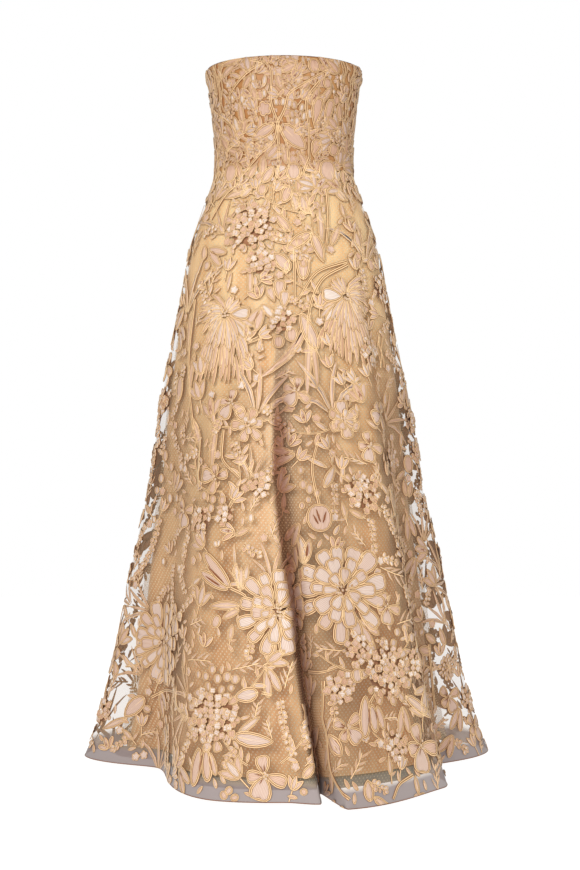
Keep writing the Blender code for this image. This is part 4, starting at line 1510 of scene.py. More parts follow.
STEMS = (
    ((-11, 47), (-24, 89), (-22, 137), (-37, 162)),
    ((-11, 47), (4, 78), (8, 96), (30, 113), (79, 146)),
    ((66, 125), (42, 87), (47, 37), (48, -14)),
    ((-11, 47), (-16, 20), (-47, -10), (-87, -57)),
    ((-11, 43), (-10, -28), (-21, -82), (-16, -116)),
    ((-11, 45), (8, 0), (10, -38)),
    ((48, -14), (36, -47), (65, -51)),
    ((-39, 158), (-71, 139), (-102, 105)),
    ((-39, 158), (-94, 172), (-117, 165)),
    ((-131, 85), (-98, 50), (-83, 22)),
    ((-83, 22), (-107, 4), (-118, -44)),
    ((-85, -61), (-110, -82), (-137, -127)),
    ((20, -193), (20, -288)),
    ((118, -218), (71, -249), (47, -310), (41, -381)),
    ((117, -212), (64, -234), (26, -288)),
    ((80, -74), (83, -121), (79, -183)),
    ((-166, -281), (-176, -377), (-165, -527)),
    ((-151, -545), (-154, -600), (-151, -632)),
    ((-108, -527), (-111, -572), (-78, -613)),
    ((69, -957), (69, -1017), (75, -1045), (83, -1108), (111, -1145)),
    ((46, -948), (74, -941), (101, -932)),
    ((275, -934), (281, -1000), (286, -1055)),
    ((223, -1126), (199, -1134), (186, -1155)),
    ((-37, -981), (-19, -985)),
    ((63, -661), (51, -599), (62, -545)),
    ((29, -782), (35, -767)),
    ((-92, -806), (-66, -819), (-58, -836)),
    ((-249, -1031), (-219, -1013), (-196, -1003)),
    ((-139, -1070), (-134, -1047)),
    ((148, -998), (159, -983)),
)
SKIRT_BACK = motifs(
    (Kind.HYDRANGEA, ((92, -205, 40, 0),)),
    (Kind.BLOSSOM, ((-92, -205, 32, 20),)),
    (Kind.CHRYSANTHEMUM, ((-84, -335, 50, 5),)),
    (Kind.LEAF, ((52, -330, 50, -16), (140, -330, 44, 18),)),
    (Kind.CHRYSANTHEMUM, ((96, -478, 50, -5),)),
    (Kind.BLOSSOM, ((-60, -500, 34, 30),)),
    (Kind.LEAF, ((-140, -520, 46, 22),)),
    (Kind.HYDRANGEA, ((-196, -560, 30, 0), (186, -560, 30, 0),)),
    (Kind.BLOSSOM, ((60, -650, 38, 0),)),
    (Kind.HYDRANGEA, ((-90, -650, 34, 20),)),
    (Kind.LEAF, ((-170, -700, 42, 18),)),
    (Kind.DAHLIA, ((-110, -824, 68, 0), (96, -836, 58, 10), (222, -965, 52, 0),)),
    (Kind.HYDRANGEA, ((-222, -940, 46, 0), (110, -988, 44, 0),)),
    (Kind.LEAF, ((-80, -972, 40, -24), (44, -1050, 38, 24),)),
    (Kind.BLOSSOM, ((-110, -1082, 36, 12), (150, -1104, 34, 24),)),
    (Kind.REED, ((-150, -400, 58, -8), (20, -560, 56, 10), (160, -230, 50, -14),)),
)
BODICE_BACK = motifs(
    (Kind.LEAF, ((40, 84, 30, -28), (-40, 84, 30, 28),)),
    (Kind.BLOSSOM, ((80, 98, 22, 0), (-80, 98, 22, 30),)),
    (Kind.LEAF, ((86, 34, 28, 28), (-86, 34, 28, -28),)),
    (Kind.BLOSSOM, ((40, 20, 20, 20), (-40, 20, 20, 0),)),
)

# How much further a motif is worked than the reach in its row
REACH = {
    Kind.DAHLIA: 1.22,
    Kind.CHRYSANTHEMUM: 1.45,
    Kind.HYDRANGEA: 1.12,
    Kind.BLOSSOM: 1.10,
}


# Turn from one floret to the next in a seed head, and a whole turn, in radians
SUNFLOWER_TURN = 2.39996
ANY_TURN = 6.3
# A narrower leaf has no rib
RIB_FROM_MM = 7
SET_STEM_MM = 7.2
GROWN_STEM_MM = 5.0


@dataclass
class Embroiderer:
    """Works each motif out of stitched pieces."""

    seed: int = 11

    def __post_init__(self) -> None:
        """Starts the random turns and tones from the seed."""
        self.random = np.random.default_rng(self.seed)

    def near(self, value: float, spread: float) -> float:
        """A value with a random share of spread added or taken off."""
        return value * (1 + spread * (2 * self.random.random() - 1))

    def tone(self, low: float, high: float) -> float:
        """A random tone between two tones."""
        return low + (high - low) * self.random.random()

    def begin(self, stitches: Stitching, spot: Spot) -> None:
        """Turns to a new place in a mesh."""
        self.stitches, self.spot = stitches, spot

    def work(self, stitches: Stitching, kind: Kind, spot: Spot, size: float) -> None:
        """Works one motif.

        Args:
            stitches: What collects the stitched pieces.
            kind: The motif.
            spot: Its place.
            size: Its reach or half length.
        """
        self.begin(stitches, spot)
        getattr(self, kind.value)(size)

    def lay(
        self, shape: Outline, length: float, width: float, at: tuple[float, float] = (0.0, 0.0),
        turn: float = 0.0, tone: float = 0.5, bend: float = 0.0, lift: float = 0.4,
        tilt: float = 0.8,
    ) -> None:
        """Lays one petal, leaf or berry of the motif.

        Args:
            shape: Its outline.
            length: Its length.
            width: Its width.
            at: Where its base lies in the motif.
            turn: Its turn in radians against the clock.
            tone: Its shade.
            bend: Its sideways curvature.
            lift: Height of its base in mm.
            tilt: How much higher its tip lies, in mm.
        """
        tall, wide = max(3, round(length / MM)), max(2, round(width / MM))
        middle = MIDDLE_POINTS if wide < WIDE_FROM_MM else WIDE_POINTS
        points = NARROW_POINTS if wide < MIDDLE_FROM_MM else middle
        piece = petal(shape, tall, wide, points)
        self.stitches.add(self.spot, piece, at, turn, bend, lift * MM, tilt * MM, tone)

    def ring(
        self, shape: Outline, count: int, start: float, length: float, width: float, lift: float,
        tones: tuple[float, float],
    ) -> None:
        """Works a ring of petals that point outwards.

        Args:
            shape: The petals' outline.
            count: How many petals there are.
            start: Distance of their bases from the heart.
            length: Their length.
            width: Their width.
            lift: Height of their bases in mm.
            tones: Range of their tones.
        """
        phase = self.random.random() * 2 * math.pi
        for index in range(count):
            turn = phase + 2 * math.pi * (index + 0.3 * (self.random.random() - 0.5)) / count
            base = (-math.sin(turn) * start, math.cos(turn) * start)
            bend = 5 * (self.random.random() - 0.5)
            self.lay(shape, self.near(length, 0.16), self.near(width, 0.22), base, turn,
                     self.tone(*tones), bend, lift + 0.5 * (index % 2), 1.2)

    def bed(self, size: float) -> None:
        """Works the brown ground between a head's florets, partly stitched ground and partly
        painted shade between the raised florets.
        """
        self.lay(Outline.BED, 2 * size, 2 * size, (0.0, -size), tone=0.12, lift=0.1, tilt=0.0)

    def knots(self, reach: float, count: int, lift: float, pale: float = 0.5) -> None:
        """Works small knots, some deep and some pale, scattered in a flower's heart."""
        for index in range(count):
            away = reach * math.sqrt((index + 0.5) / count)
            tone = self.tone(0.85, 1.0) if self.random.random() < pale else self.tone(0.0, 0.3)
            base = (away * math.cos(2.4 * index), away * math.sin(2.4 * index))
            turn = self.random.random() * ANY_TURN
            self.lay(Outline.BERRY, 6 * MM, 5 * MM, base, turn, tone, 0.0, lift)

    def slits(self, size: float, turns: tuple[float, ...], start: float, lift: float) -> None:
        """Works narrow dark slits that fan out in a petal."""
        for turn in turns:
            base = (-math.sin(turn) * start, math.cos(turn) * start)
            self.lay(Outline.SLIT, size, 0.0022, base, turn, 0.0, 0.0, lift, 0.4)

    def dahlia(self, size: float) -> None:
        """Works a dahlia: three rings of long round petals round a heart of knots."""
        self.bed(0.55 * size)
        self.ring(Outline.BROAD, 13, 0.38 * size, 0.62 * size, 0.38 * size, 0.3, (0.66, 0.88))
        self.ring(Outline.BROAD, 10, 0.18 * size, 0.54 * size, 0.35 * size, 1.8, (0.64, 0.90))
        self.ring(Outline.BROAD, 7, 0.07 * size, 0.38 * size, 0.26 * size, 3.2, (0.66, 0.92))
        self.knots(0.20 * size, 26, 4.6, 0.6)

    def chrysanthemum(self, size: float) -> None:
        """Works a chrysanthemum: a bent crown, and long petals that hang from it."""
        side = math.copysign(1.0, self.spot.turn)
        for row in CHRYSANTHEMUM:
            for index in range(row.count):
                place = (index + 0.7 * self.random.random()) / row.count
                angle = math.radians(row.first + (row.last - row.first) * place)
                fall = row.fall if row.fall else 0.7 * (math.pi - angle)
                reach = self.near(row.length, 0.16) * size
                start = self.near(row.start, 0.22) * size
                turn = side * angle
                shape = Outline.BROAD if row.count == 1 else Outline.LONG
                self.lay(shape, reach, self.near(row.width, 0.1) * size,
                         (-math.sin(turn) * start, math.cos(turn) * start), turn,
                         self.near(row.tone, 0.25), -side * fall / reach,
                         row.lift + 0.35 * (index % 3), 1.0)
        self.knots(0.07 * size, 7, 3.6, 0.9)

    def hydrangea(self, size: float) -> None:
        """Works a hydrangea: a domed head of many small florets over a deep brown ground, partly
        painted shade.
        """
        self.bed(0.74 * size)
        edge = max(6, int(size / 0.0048))
        self.ring(Outline.BROAD, edge, 0.66 * size, 0.36 * size, 0.28 * size, 0.4, (0.45, 0.75))
        count = int(0.74 * (size / 0.0060) ** 2)
        for index in range(count):
            away = self.near(0.84 * size * math.sqrt((index + 0.5) / count), 0.10)
            turn = SUNFLOWER_TURN * index + 0.5 * self.random.random()
            dome = 4.4 * (1 - (away / size) ** 2)
            ivory = self.random.random() < 0.40
            tone = self.tone(0.88, 1.0) if ivory else self.tone(0.34, 0.70)
            lift = 0.9 + dome + 1.4 * self.random.random()
            lobes = 4 if self.random.random() < 0.6 else 5
            piece = floret(lobes, 6 + int(3 * self.random.random()))
            self.stitches.add(
                self.spot, piece, (away * math.cos(turn), away * math.sin(turn)),
                self.random.random() * ANY_TURN, 0.0, lift * MM,
                1.6 * MM * self.random.random(), tone,
            )

    def blossom(self, size: float) -> None:
        """Works an open blossom: broad petals, an inner ring and a pale heart."""
        self.ring(Outline.BROAD, 6, 0.12 * size, 0.90 * size, 0.70 * size, 0.4, (0.42, 0.72))
        self.ring(Outline.BROAD, 4, 0.05 * size, 0.52 * size, 0.42 * size, 2.0, (0.55, 0.95))
        self.knots(0.12 * size, 6, 3.4, 0.7)

    def pansy(self, size: float) -> None:
        """Works a pansy: four unlike petals with dark slits by its pale heart."""
        for turn, length, width, lift, tone in (
            (0.2, 0.86, 0.72, 0.4, 0.60), (1.7, 0.82, 0.66, 0.8, 0.56),
            (-1.9, 1.05, 0.66, 1.2, 0.52), (2.9, 1.10, 1.05, 1.8, 0.68),
        ):
            self.lay(Outline.BROAD, length * size, width * size, (0.0, 0.0), turn, tone, 0.0, lift)
        self.slits(0.36 * size, (0.5, 0.1, 1.5, 2.6), 0.10 * size, 3.6)
        self.knots(0.13 * size, 6, 3.8, 0.9)

    def leaf(self, size: float) -> None:
        """Works a leaf with a rib, and a small one beside its stalk."""
        self.leaf_at((0.0, -0.8 * size), 0.0, 1.7 * size, 12 * (self.random.random() - 0.5))
        side = 1 if self.random.random() < 0.5 else -1
        if size > 0.013:
            self.leaf_at((0.0, -0.80 * size), side * self.near(1.2, 0.25),
                         self.near(0.9 * size, 0.2), -side * 14.0, 0.34)
            stalk = self.curve((0.0, -0.75 * size), math.pi, 0.7 * size, 14.0 * side)
            self.stitches.run(self.spot, stalk, 3.4 * MM)

    def leaf_at(
        self, base: tuple[float, float], turn: float, length: float, bend: float = 0.0,
        slim: float = 0.40, tone: float | None = None,
    ) -> None:
        """Works a leaf and its rib from its base.

        Args:
            base: The leaf's base in the motif.
            turn: Its turn in radians.
            length: Its length.
            bend: Its sideways curvature.
            slim: Its width as a share of its length.
            tone: Its shade, or none for a random one.
        """
        shade = self.tone(0.40, 0.72) if tone is None else tone
        long, wide = max(length, 8 * MM), max(slim * length, 4 * MM)
        self.lay(Outline.LEAF, long, wide, base, turn, shade, bend)
        if slim * length < RIB_FROM_MM * MM:
            return
        along = np.linspace(0.02 * length, 0.78 * length, 9)
        curve = bend if abs(bend) > 1e-6 else 1e-6
        x = (1 - np.cos(curve * along)) / curve
        rib = np.column_stack(turned(x, np.sin(curve * along) / curve, turn, base))
        self.stitches.run(self.spot, rib, min(2.8, 140 * slim * length) * MM, 1.4 * MM, 0.6)

    def reed(self, size: float) -> None:
        """Works a bunch of long narrow leaves that grow from one foot."""
        for turn in (-0.34, -0.10, 0.14, 0.38):
            self.leaf_at((0.3 * turn * size, -size), -turn, self.near(1.8 * size, 0.18),
                         self.near(turn * 34, 0.4), 0.105)

    def fan(self, size: float) -> None:
        """Works broad petals that overlap like a half-open flower, with dark slits."""
        for turn, lift in ((-0.62, 0.3), (0.62, 0.8), (0.0, 1.6)):
            self.lay(Outline.LONG, 1.8 * size, 0.78 * size, (0.0, -0.85 * size),
                     self.near(turn, 0.3), self.tone(0.42, 0.72), -6 * turn, lift, 1.0)
        self.slits(0.7 * size, (-0.35, 0.3), -0.4 * size, 3.0)

    def calla(self, size: float) -> None:
        """Works a hanging flower: long petals side by side with slits between them."""
        for turn, length, lift in ((math.pi - 0.24, 1.9, 0.4), (math.pi + 0.28, 1.7, 1.0)):
            self.lay(Outline.LONG, length * size, 0.66 * size, (0.0, 0.9 * size), turn,
                     self.tone(0.5, 0.7), 0.0, lift, 1.0)
        self.slits(0.9 * size, (math.pi - 0.1, math.pi + 0.2), -0.5 * size, 2.6)

    def bud(self, size: float) -> None:
        """Works a bud: petals that open upwards from a stem, with slits between."""
        for turn, lift in ((0.42, 0.3), (-0.42, 0.5), (0.0, 1.3)):
            self.lay(Outline.LEAF, 1.5 * size, 0.66 * size, (0.0, -0.45 * size), turn,
                     self.tone(0.5, 0.85), -turn * 22, lift, 1.2)
        stem = self.curve((0.0, -0.45 * size), math.pi, size, 12 * (self.random.random() - 0.5))
        self.stitches.run(self.spot, stem, 3.2 * MM)

    def twig(self, size: float) -> None:
        """Works a twig: slim fingers on both sides of a short stem."""
        stem = self.curve((0.0, -size), 0.0, 1.7 * size, 14 * (self.random.random() - 0.5))
        self.stitches.run(self.spot, stem, 3.4 * MM)
        for index in range(1, 7):
            x, y = stem[int(len(stem) * index / 7.5)]
            side = 1 if index % 2 else -1
            self.lay(Outline.FINGER, self.near(0.75 * size, 0.25), 5 * MM, (float(x), float(y)),
                     side * self.near(0.66, 0.3), self.tone(0.5, 0.9), side * 10.0, 0.6)

    def garland(self, size: float) -> None:
        """Works a garland: round berries in pairs and threes along a curved stem."""
        stem = self.curve((0.0, size), math.pi, 1.9 * size, 14 * (self.random.random() - 0.5))
        self.stitches.run(self.spot, stem, 3.0 * MM)
        count = max(4, int(2 * size / 0.0085))
        for index in range(count):
            x, y = stem[int((len(stem) - 1) * (index + 0.6) / count)]
            for side in (-1, 1, 0) if index % 3 == 0 else (-1, 1):
                turn = math.pi + side * self.near(1.1, 0.3)
                ivory = self.random.random() < 0.25
                tone = self.tone(0.85, 1.0) if ivory else self.tone(0.45, 0.75)
                wide = (7 + int(4 * self.random.random())) * MM
                self.lay(Outline.BERRY, 1.1 * wide, wide, (float(x), float(y)), turn, tone, 0.0,
                         0.6 + 1.4 * self.random.random(), 1.0)

    def floret(self, size: float) -> None:
        """Works one small flower."""
        tone = self.tone(0.8, 1.0) if self.random.random() < 0.3 else self.tone(0.42, 0.72)
        piece = floret(5, max(4, round(size / MM)))
        self.stitches.add(self.spot, piece, (0.0, 0.0), 0.0, 0.0, 0.6 * MM, 0.4 * MM, tone)

    def scroll(self, size: float) -> None:
        """Works wavy double cords that run side by side."""
        along = np.linspace(-size, size, max(9, int(size / 0.002)))
        for offset, wave in ((-0.0046, 0.0030), (0.0, 0.0036), (0.0050, 0.0028)):
            phase = 5.0 * self.random.random()
            swing = wave * np.sin(along / 0.0075 + phase) + 0.08 * size * np.sin(along / size * 2)
            self.stitches.run(self.spot, np.column_stack([offset + swing, along]), 4.2 * MM)

    @staticmethod
    def curve(start: tuple[float, float], turn: float, length: float, bend: float) -> np.ndarray:
        """An arc from a start.

        Args:
            start: Its first point.
            turn: Its first heading, in radians against the clock from upwards.
            length: Its length.
            bend: Its curvature.

        Returns:
            Its points, about 4 mm apart.
        """
        steps = max(4, int(length / 0.004))
        heading = turn + bend * np.linspace(0, length, steps + 1)[:-1]
        move = length / steps
        x = start[0] - np.concatenate([[0], np.cumsum(np.sin(heading) * move)])
        y = start[1] + np.concatenate([[0], np.cumsum(np.cos(heading) * move)])
        return np.column_stack([x, y])


# Room for the discs of cloth that are marked as taken
MOST_PLACES = 40000
# Heights at which the embroidery's meshes meet
SKIRT_TOP_END_Z = -0.40
HEM_PART_Z = -0.78
# How wide the field of tries is at the waist, the hip and the hem
FILL_HEIGHTS, FILL_WIDTHS = (-0.17, 0.03, 1.16), (0.85, 0.80, 2.4)


@dataclass
class Embroidery:
    """All the embroidery: listed pieces, stems, and small motifs between them."""

    form: GownForm
    finishes: Finishes
    worker: Embroiderer = field(default_factory=Embroiderer)
    taken: np.ndarray = field(default_factory=lambda: np.zeros((MOST_PLACES, 4)))
    count: int = 0

    def __post_init__(self) -> None:
        """Starts one mesh for each part of the gown."""
        names = ("bodice", "skirt_top", "skirt_front", "skirt_back", "hem_front", "hem_back")
        self.meshes = {name: Stitching(self.form, f"embroidery_{name}") for name in names}

    def _mesh(self, angle: float, z: float) -> Stitching:
        """The mesh that a motif belongs to by its place."""
        if z > WAIST_SEAM_Z:
            return self.meshes["bodice"]
        if z > SKIRT_TOP_END_Z:
            return self.meshes["skirt_top"]
        side = "front" if -90 <= (angle + 180) % FULL_TURN - 180 < 90 else "back"
        return self.meshes[f"{'skirt' if z > HEM_PART_Z else 'hem'}_{side}"]

    def _point(self, angle: float, z: float, x: float = 0.0) -> np.ndarray:
        """The point of the lace at an angle and height, and a length round from there."""
        place = self.form.follow(np.array([angle]), np.array([z]), np.array([x]))
        return self.form.point(place, np.array([z]), LACE)[0]

    def _take(self, spot: Spot, discs: list[tuple[float, float, float]]) -> None:
        """Marks discs of cloth, given in the motif's own frame, as taken."""
        for x, y, reach in discs:
            across, up = turned(x, y, spot.turn, (0.0, 0.0))
            z = float(np.clip(spot.z + up, HEM_Z, NECKLINE_Z))
            self.taken[self.count, :3] = self._point(spot.angle, z, across)
            self.taken[self.count, 3] = reach
            self.count += 1

    def place(self, kind: Kind, spot: Spot, size: float) -> None:
        """Works a motif at its spot and marks the cloth under it."""
        self.worker.work(self._mesh(spot.angle, spot.z), kind, spot, size)
        discs = [(0.0, 0.0, 0.95 * size)]
        if kind in SLIM:
            discs = [(0.0, share * size, 0.30 * size) for share in (-0.7, -0.25, 0.25, 0.7)]
        if kind is Kind.CHRYSANTHEMUM:
            discs = [(0.0, 0.0, 0.62 * size), (0.0, -0.8 * size, 0.6 * size)]
            discs.append((0.0, -1.5 * size, 0.42 * size))
        self._take(spot, discs)

    def set_motifs(self, motifs: tuple[Motif, ...], back: bool) -> list[tuple[Spot, Motif]]:
        """Works the motifs of a table.

        Args:
            motifs: The table.
            back: Whether it is the back's.

        Returns:
            Each motif with its spot.
        """
        spots = []
        for motif in motifs:
            angle = self.form.angle_across(motif.across, motif.z, back)
            spot = Spot(angle, motif.z, math.radians(motif.turn))
            self.place(motif.kind, spot, motif.size * REACH.get(motif.kind, 1.0))
            spots.append((spot, motif))
        return spots

    def set_marks(self, marks: tuple[Mark, ...]) -> None:
        """Works the front's single petals, leaves and berries of a table."""
        for index, mark in enumerate(marks):
            spot = Spot(self.form.angle_across(mark.across, mark.z, False), mark.z, 0.0)
            self.worker.begin(self._mesh(spot.angle, spot.z), spot)
            turn, length, width = math.radians(mark.turn), mark.length * MM, mark.width * MM
            if mark.shape is Outline.LEAF:
                bend = 10 * (self.worker.random.random() - 0.5)
                self.worker.leaf_at((0.0, 0.0), turn, length, bend, width / length, mark.tone)
            else:
                lift = 3.4 if mark.shape is Outline.SLIT else 0.6 + 0.3 * (index % 4)
                self.worker.lay(mark.shape, length, width, (0.0, 0.0), turn, mark.tone, lift=lift)
            discs = []
            for share in (0.3, 0.7):
                x, y = -math.sin(turn) * share * length, math.cos(turn) * share * length
                discs.append((x, y, 0.45 * width))
            self._take(spot, discs)

    def set_stems(self, paths: tuple) -> None:
        """Works the front's stems, each a smooth curve through its table's points."""
        for path in paths:
            ends = np.array(path) / 1000
            angles = [self.form.angle_across(x, z, False) for x, z in ends]
            spot = Spot(angles[0], float(ends[0, 1]), 0.0)
            x = [self.form.between(spot.angle, angle, z) for angle, (_, z) in zip(angles, ends)]
            steps = np.concatenate([[0], np.cumsum(np.linalg.norm(np.diff(ends, axis=0), axis=1))])
            at = np.linspace(0, steps[-1], max(5, int(steps[-1] / 0.005)))
            across = smooth_curve(steps, np.array(x), at)
            up = smooth_curve(steps, ends[:, 1] - spot.z, at)
            mesh = self._mesh(spot.angle, spot.z)
            mesh.run(spot, np.column_stack([across, up]), SET_STEM_MM * MM, 0.6 * MM, 0.3)
            self._take(spot, [(across[step], up[step], 0.003) for step in range(0, len(at), 3)])

    def stems(self, spots: list[tuple[Spot, Motif]]) -> None:
        """Works stems with small leaves that grow out of the flowers."""
        random = self.worker.random
        for spot, motif in spots:
            if motif.kind in SLIM:
                continue
            for side in (-1, 1):
                turn = side * (0.5 + 2.0 * random.random())
                length = 0.045 + 0.07 * random.random()
                start = (-math.sin(turn) * 0.85 * motif.size, math.cos(turn) * 0.85 * motif.size)
                path = self.worker.curve(start, turn, length, -side * (6 + 8 * random.random()))
                if not HEM_Z + 0.02 < spot.z + path[-1, 1] < WAIST_SEAM_Z + 0.19:
                    continue
                self.worker.begin(self._mesh(spot.angle, spot.z), Spot(spot.angle, spot.z, 0.0))
                width = GROWN_STEM_MM * MM
                self.worker.stitches.run(self.worker.spot, path, width, 0.2 * MM, 0.3)
                for step in range(3, len(path) - 1, 4):
                    x, y = path[step]
                    ahead = path[step + 1] - path[step]
                    lean = 0.8 if (step // 4) % 2 else -0.8
                    self.worker.leaf_at(
                        (float(x), float(y)), math.atan2(-ahead[0], ahead[1]) + lean,
                        0.016 + 0.014 * random.random(), -lean * 12,
                    )

    def fill(self, low: float, high: float, classes: tuple, crowding: float) -> None:
        """Works small motifs where the cloth is still free.

        Args:
            low: Lowest height.
            high: Greatest height.
            classes: Rows of a reach, how many places are tried and the motifs to choose from.
            crowding: How near they come to their neighbours, as a share of both reaches.
        """
        random = self.worker.random
        for reach, tries, kinds in classes:
            heights = low + (high - low) * random.random(tries)
            widths = np.interp(-heights, FILL_HEIGHTS, FILL_WIDTHS)
            widest = FILL_WIDTHS[-1]
            keep = random.random(tries) < widths / widest * (widest if high > 0 else 1.0)
            angles = -90 + 360 * random.random(tries)
            places = self.form.follow(angles, heights, np.zeros(tries))
            points = self.form.point(places, heights, LACE)
            for angle, z, point in zip(angles[keep], heights[keep], points[keep]):
                near = self.taken[: self.count]
                gaps = np.linalg.norm(near[:, :3] - point, axis=1)
                if np.any(gaps < crowding * (near[:, 3] + reach)):
                    continue
                kind = kinds[int(len(kinds) * random.random())]
                size = reach * (1.25 if kind in SLIM else 1.0)
                if not HEM_Z + 0.8 * size < z < NECKLINE_Z - 0.2 * size:
                    continue
                spot = Spot(angle, z, random.normal(0.0, 0.7))
                self.worker.work(self._mesh(angle, z), kind, spot, size)
                self._take(spot, [(0.0, 0.0, reach * 0.9)])

    def build(self) -> list[bpy.types.Object]:
        """Works all the embroidery and makes its meshes.

        Returns:
            The embroidery's pieces.
        """
        self.set_marks(HAND_SET)
        self.set_stems(STEMS)
        spots = self.set_motifs(FRONT, False)
        self.set_motifs(BODICE_BACK, True)
        spots += self.set_motifs(SKIRT_BACK, True)
        self.stems([row for row in spots if row[0].z < WAIST_SEAM_Z])
        bodice = (
            (0.019, 500, (Kind.LEAF, Kind.FAN, Kind.BUD)),
            (0.013, 1600, (Kind.LEAF, Kind.FAN, Kind.BUD, Kind.BLOSSOM)),
            (0.009, 3000, (Kind.LEAF, Kind.FAN, Kind.FLORET)),
            (0.0052, 4000, (Kind.FLORET, Kind.LEAF)),
        )
        skirt = (
            (0.030, 1000, (Kind.GARLAND, Kind.HYDRANGEA, Kind.PANSY, Kind.REED)),
            (0.022, 2000, (Kind.GARLAND, Kind.CALLA, Kind.BUD, Kind.TWIG, Kind.FAN)),
            (0.015, 3600, (Kind.GARLAND, Kind.LEAF, Kind.TWIG, Kind.BUD, Kind.FAN)),
            (0.009, 5600, (Kind.LEAF, Kind.FLORET, Kind.LEAF)),
        )
        self.fill(WAIST_SEAM_Z - 0.05, NECKLINE_Z, bodice, 0.54)
        self.fill(HEM_Z, WAIST_SEAM_Z, skirt, 0.80)
        return [mesh.make(self.finishes) for mesh in self.meshes.values()]


@dataclass
class Edges:
    """Thin rolled edges of the lace and the lining."""

    form: GownForm
    finishes: Finishes
    count: int = 340

    def round_edge(
        self, name: str, z: float, width: float, layer: Layer, inset: float
    ) -> bpy.types.Object:
        """A rolled edge all round the gown.

        Args:
            name: The piece's name.
            z: Its height.
            width: Its width.
            layer: The layer whose edge it is.
            inset: How far its middle lies inside the layer's outer face.

        Returns:
            The piece.
        """
        ring = bmesh.new()
        bmesh.ops.create_grid(ring, x_segments=6, y_segments=self.count, size=0.5)
        places = np.array([(vert.co.x, vert.co.y + 0.5) for vert in ring.verts])
        around = ROUND * places[:, 1]
        turn = 2 * np.pi * places[:, 0]
        centre = self.form.point(around, np.full(len(around), z), layer)
        normal = self.form.normal(around, np.full(len(around), z), layer)
        points = centre + normal * (np.cos(turn) * width / 2 - inset)[:, None]
        points[:, 2] = z + np.sin(turn) * width / 2
        for vert, point in zip(ring.verts, points):
            vert.co = point
        # The rolled edges wear the cord's middle colours: painted crest highlight and painted
        # groove shade
        uv = ring.loops.layers.uv.new("UVMap")
        for face in ring.faces:
            for loop in face.loops:
                index = loop.vert.index
                loop[uv].uv = (places[index, 1] * 2000.0, 0.5 + 0.3 * places[index, 0])
        bmesh.ops.remove_doubles(ring, verts=ring.verts[:], dist=1e-6)
        bmesh.ops.recalc_face_normals(ring, faces=ring.faces[:])
        mesh = bpy.data.meshes.new(name)
        ring.to_mesh(mesh)
        ring.free()
        mesh.polygons.foreach_set("use_smooth", [True] * len(mesh.polygons))
        mesh.materials.append(self.finishes.cord)
        return show(name, mesh, "gown")


@dataclass
class Zip:
    """The zip at the centre back: the tapes, their coil and the metal slider and pull."""

    form: GownForm
    finishes: Finishes
    top: float = 0.134
    bottom: float = -0.163
    turn_height: float = 0.0012
    half_width: float = 0.0016
    thread: float = 0.0010

    def build(self) -> bpy.types.Object:
        """Dresses the tapes and the metal and makes the closed coil below the slider.

        Returns:
            The coil's piece.
        """
        for name, finish in (
            ("zip_tape_left", self.finishes.tape),
            ("zip_tape_right", self.finishes.tape),
            ("zip_slider", self.finishes.metal),
            ("zip_pull", self.finishes.metal),
        ):
            for slot in bpy.data.objects[name].material_slots:
                slot.material = finish
        turns = int((self.top - self.bottom) / self.turn_height)
        coil = bmesh.new()
        bmesh.ops.create_grid(coil, x_segments=6, y_segments=turns, size=0.5)
        places = np.array([(vert.co.x * 2 * np.pi, vert.co.y + 0.5) for vert in coil.verts])
        z = self.bottom + (self.top - self.bottom) * places[:, 1]
        side = np.where(np.round(places[:, 1] * turns) % 2 == 0, -1.0, 1.0) * self.half_width
        back = self.form.point(np.full(len(z), CENTRE_BACK), z, LACE)[:, 1]
        for vert, (turn, _), x, y, height in zip(coil.verts, places, side, back, z):
            reach = self.thread / 2
            vert.co = (x + reach * math.cos(turn), y + 0.0004 + reach * math.sin(turn), height)
        mesh = bpy.data.meshes.new("zip_coil")
        coil.to_mesh(mesh)
        coil.free()
        mesh.polygons.foreach_set("use_smooth", [True] * len(mesh.polygons))
        mesh.materials.append(self.finishes.tape)
        return show("zip_coil", mesh, "gown")


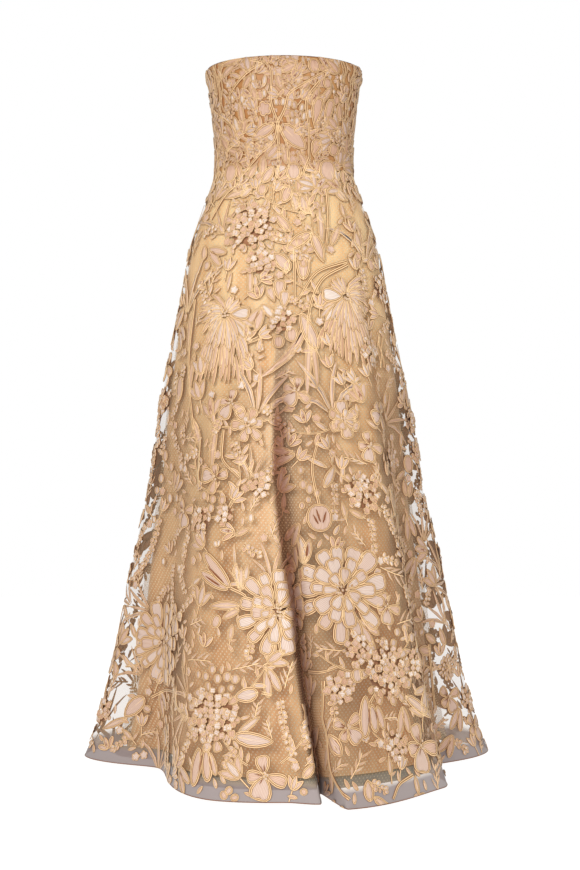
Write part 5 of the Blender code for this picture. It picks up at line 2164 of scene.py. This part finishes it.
@dataclass
class Studio:
    """A pale floor, soft light and the camera at the photograph's place."""

    floor_z: float = -1.176
    camera_at: tuple[float, float, float] = (0.0117, -2.551, -0.536)
    lens: float = 54.12
    background: float = 1.0
    ambient: float = 0.36

    def floor(self) -> None:
        """Makes the floor."""
        ground = bmesh.new()
        bmesh.ops.create_grid(ground, x_segments=1, y_segments=1, size=2.6)
        bmesh.ops.translate(ground, verts=ground.verts[:], vec=(0.0, 0.0, self.floor_z))
        mesh = bpy.data.meshes.new("studio_floor")
        ground.to_mesh(mesh)
        ground.free()
        paper = NodeSheet(
            "matt_white_paper",
            {"Base Color": linear("6E6E6E"), "Roughness": 1.0, "Emission Color": linear("FFFFFF"),
             "Emission Strength": 0.97},
        )
        mesh.materials.append(paper.material)
        floor = bpy.data.objects.new("studio_floor", mesh)
        bpy.context.scene.collection.objects.link(floor)

    def light(self, name: str, at: tuple, turn: tuple, size: float, power: float) -> None:
        """Adds a soft square light.

        Args:
            name: The light's name.
            at: Its place.
            turn: Its turn in degrees.
            size: Its side.
            power: Its power in watts.
        """
        lamp = bpy.data.lights.new(name, "AREA")
        lamp.size = size
        lamp.energy = power
        holder = bpy.data.objects.new(name, lamp)
        holder.location = at
        holder.rotation_euler = [math.radians(value) for value in turn]
        holder.visible_camera = False
        bpy.context.scene.collection.objects.link(holder)

    def build(self) -> None:
        """Makes the floor, the world, the lights and the camera."""
        self.floor()
        world = bpy.data.worlds.new("studio")
        world.use_nodes = True
        sky = world.node_tree.nodes["Background"]
        sky.inputs["Color"].default_value = linear("FFFFFF")
        path = add_node(world, "ShaderNodeLightPath")
        seen = add_node(
            world, "ShaderNodeMapRange", {"To Min": self.ambient, "To Max": self.background},
            {"Value": path.outputs["Is Camera Ray"]},
        )
        world.node_tree.links.new(seen.outputs["Result"], sky.inputs["Strength"])
        bpy.context.scene.world = world
        bpy.context.scene.view_settings.view_transform = "Standard"
        self.light("key", (-0.9, -3.4, 0.7), (70.7, 0.0, -15.3), 1.3, 84.0)
        self.light("fill", (2.4, -2.8, 0.6), (76.0, 0.0, 40.0), 2.4, 26.0)
        self.light("back", (0.5, 3.2, 0.7), (-70.7, 0.0, -8.9), 1.8, 34.0)
        view = bpy.data.cameras.new("camera")
        view.lens = self.lens
        view.sensor_width = 36.0
        view.sensor_fit = "AUTO"
        camera = bpy.data.objects.new("camera", view)
        camera.location = self.camera_at
        camera.rotation_euler = (math.radians(90.0), 0.0, 0.0)
        bpy.context.scene.collection.objects.link(camera)
        bpy.context.scene.camera = camera


def main() -> None:
    """Builds the dressed gown and logs its progress."""
    logging.basicConfig(level=logging.INFO, format="%(message)s")
    form = GownForm()
    finishes = Finishes()
    flats = {"front": 1.28, "back_left": 0.76, "back_right": 0.76}
    lace = ClothLayer(form, "lace", LACE, WAIST_SEAM_Z, HEM_Z, finishes.tulle,
                      "embroidered_lace", "skirt_lace", 0.0, 16, 0.012)
    net = ClothLayer(form, "net", NET, WAIST_SEAM_Z, NET_HEM_Z, finishes.net,
                     "spotted_net", "skirt_net", 0.0, 10, 0.016)
    lining = ClothLayer(form, "lining", LINING, WAIST_SEAM_Z, LINING_HEM_Z, finishes.lining,
                        "satin_lining", "skirt_lining", 0.0, 10, 0.016)
    hem = ClothLayer(form, "net_hem", NET, LINING_HEM_Z + 0.007, NET_HEM_Z, finishes.hem_net,
                     "spotted_net", "", -0.0004, 10, 0.008)
    bodice = ClothLayer(form, "bodice_cloth", LACE, NECKLINE_Z, WAIST_SEAM_Z, finishes.bodice,
                        "embroidered_lace", "bodice", 0.0, 12, 0.008)
    inner = ClothLayer(form, "bodice_inside", LACE, NECKLINE_Z - 0.002, WAIST_SEAM_Z,
                       finishes.lining, "satin_lining", "bodice_lining", 0.0034, 12, 0.010)
    for panel in PANELS:
        for cloth, length in ((lace, 1.17), (net, 1.15), (lining, 1.13), (hem, 0.022)):
            cloth.panel(panel, (flats[panel.name], length), "hung")
        for cloth in (bodice, inner):
            cloth.panel(panel, (0.44 if panel.name == "front" else 0.22, 0.21), "stretched")
    LOG.info("cloth layers made")
    Embroidery(form, finishes).build()
    edges = Edges(form, finishes)
    edges.round_edge("neckline_edge", NECKLINE_Z, 0.0036, LACE, 0.0014)
    edges.round_edge("lace_hem_edge", HEM_Z, 0.0016, LACE, 0.0)
    edges.round_edge("lining_hem_edge", LINING_HEM_Z, 0.0018, LINING, 0.0)
    Zip(form, finishes).build()
    Studio().build()


if __name__ == "__main__":
    main()
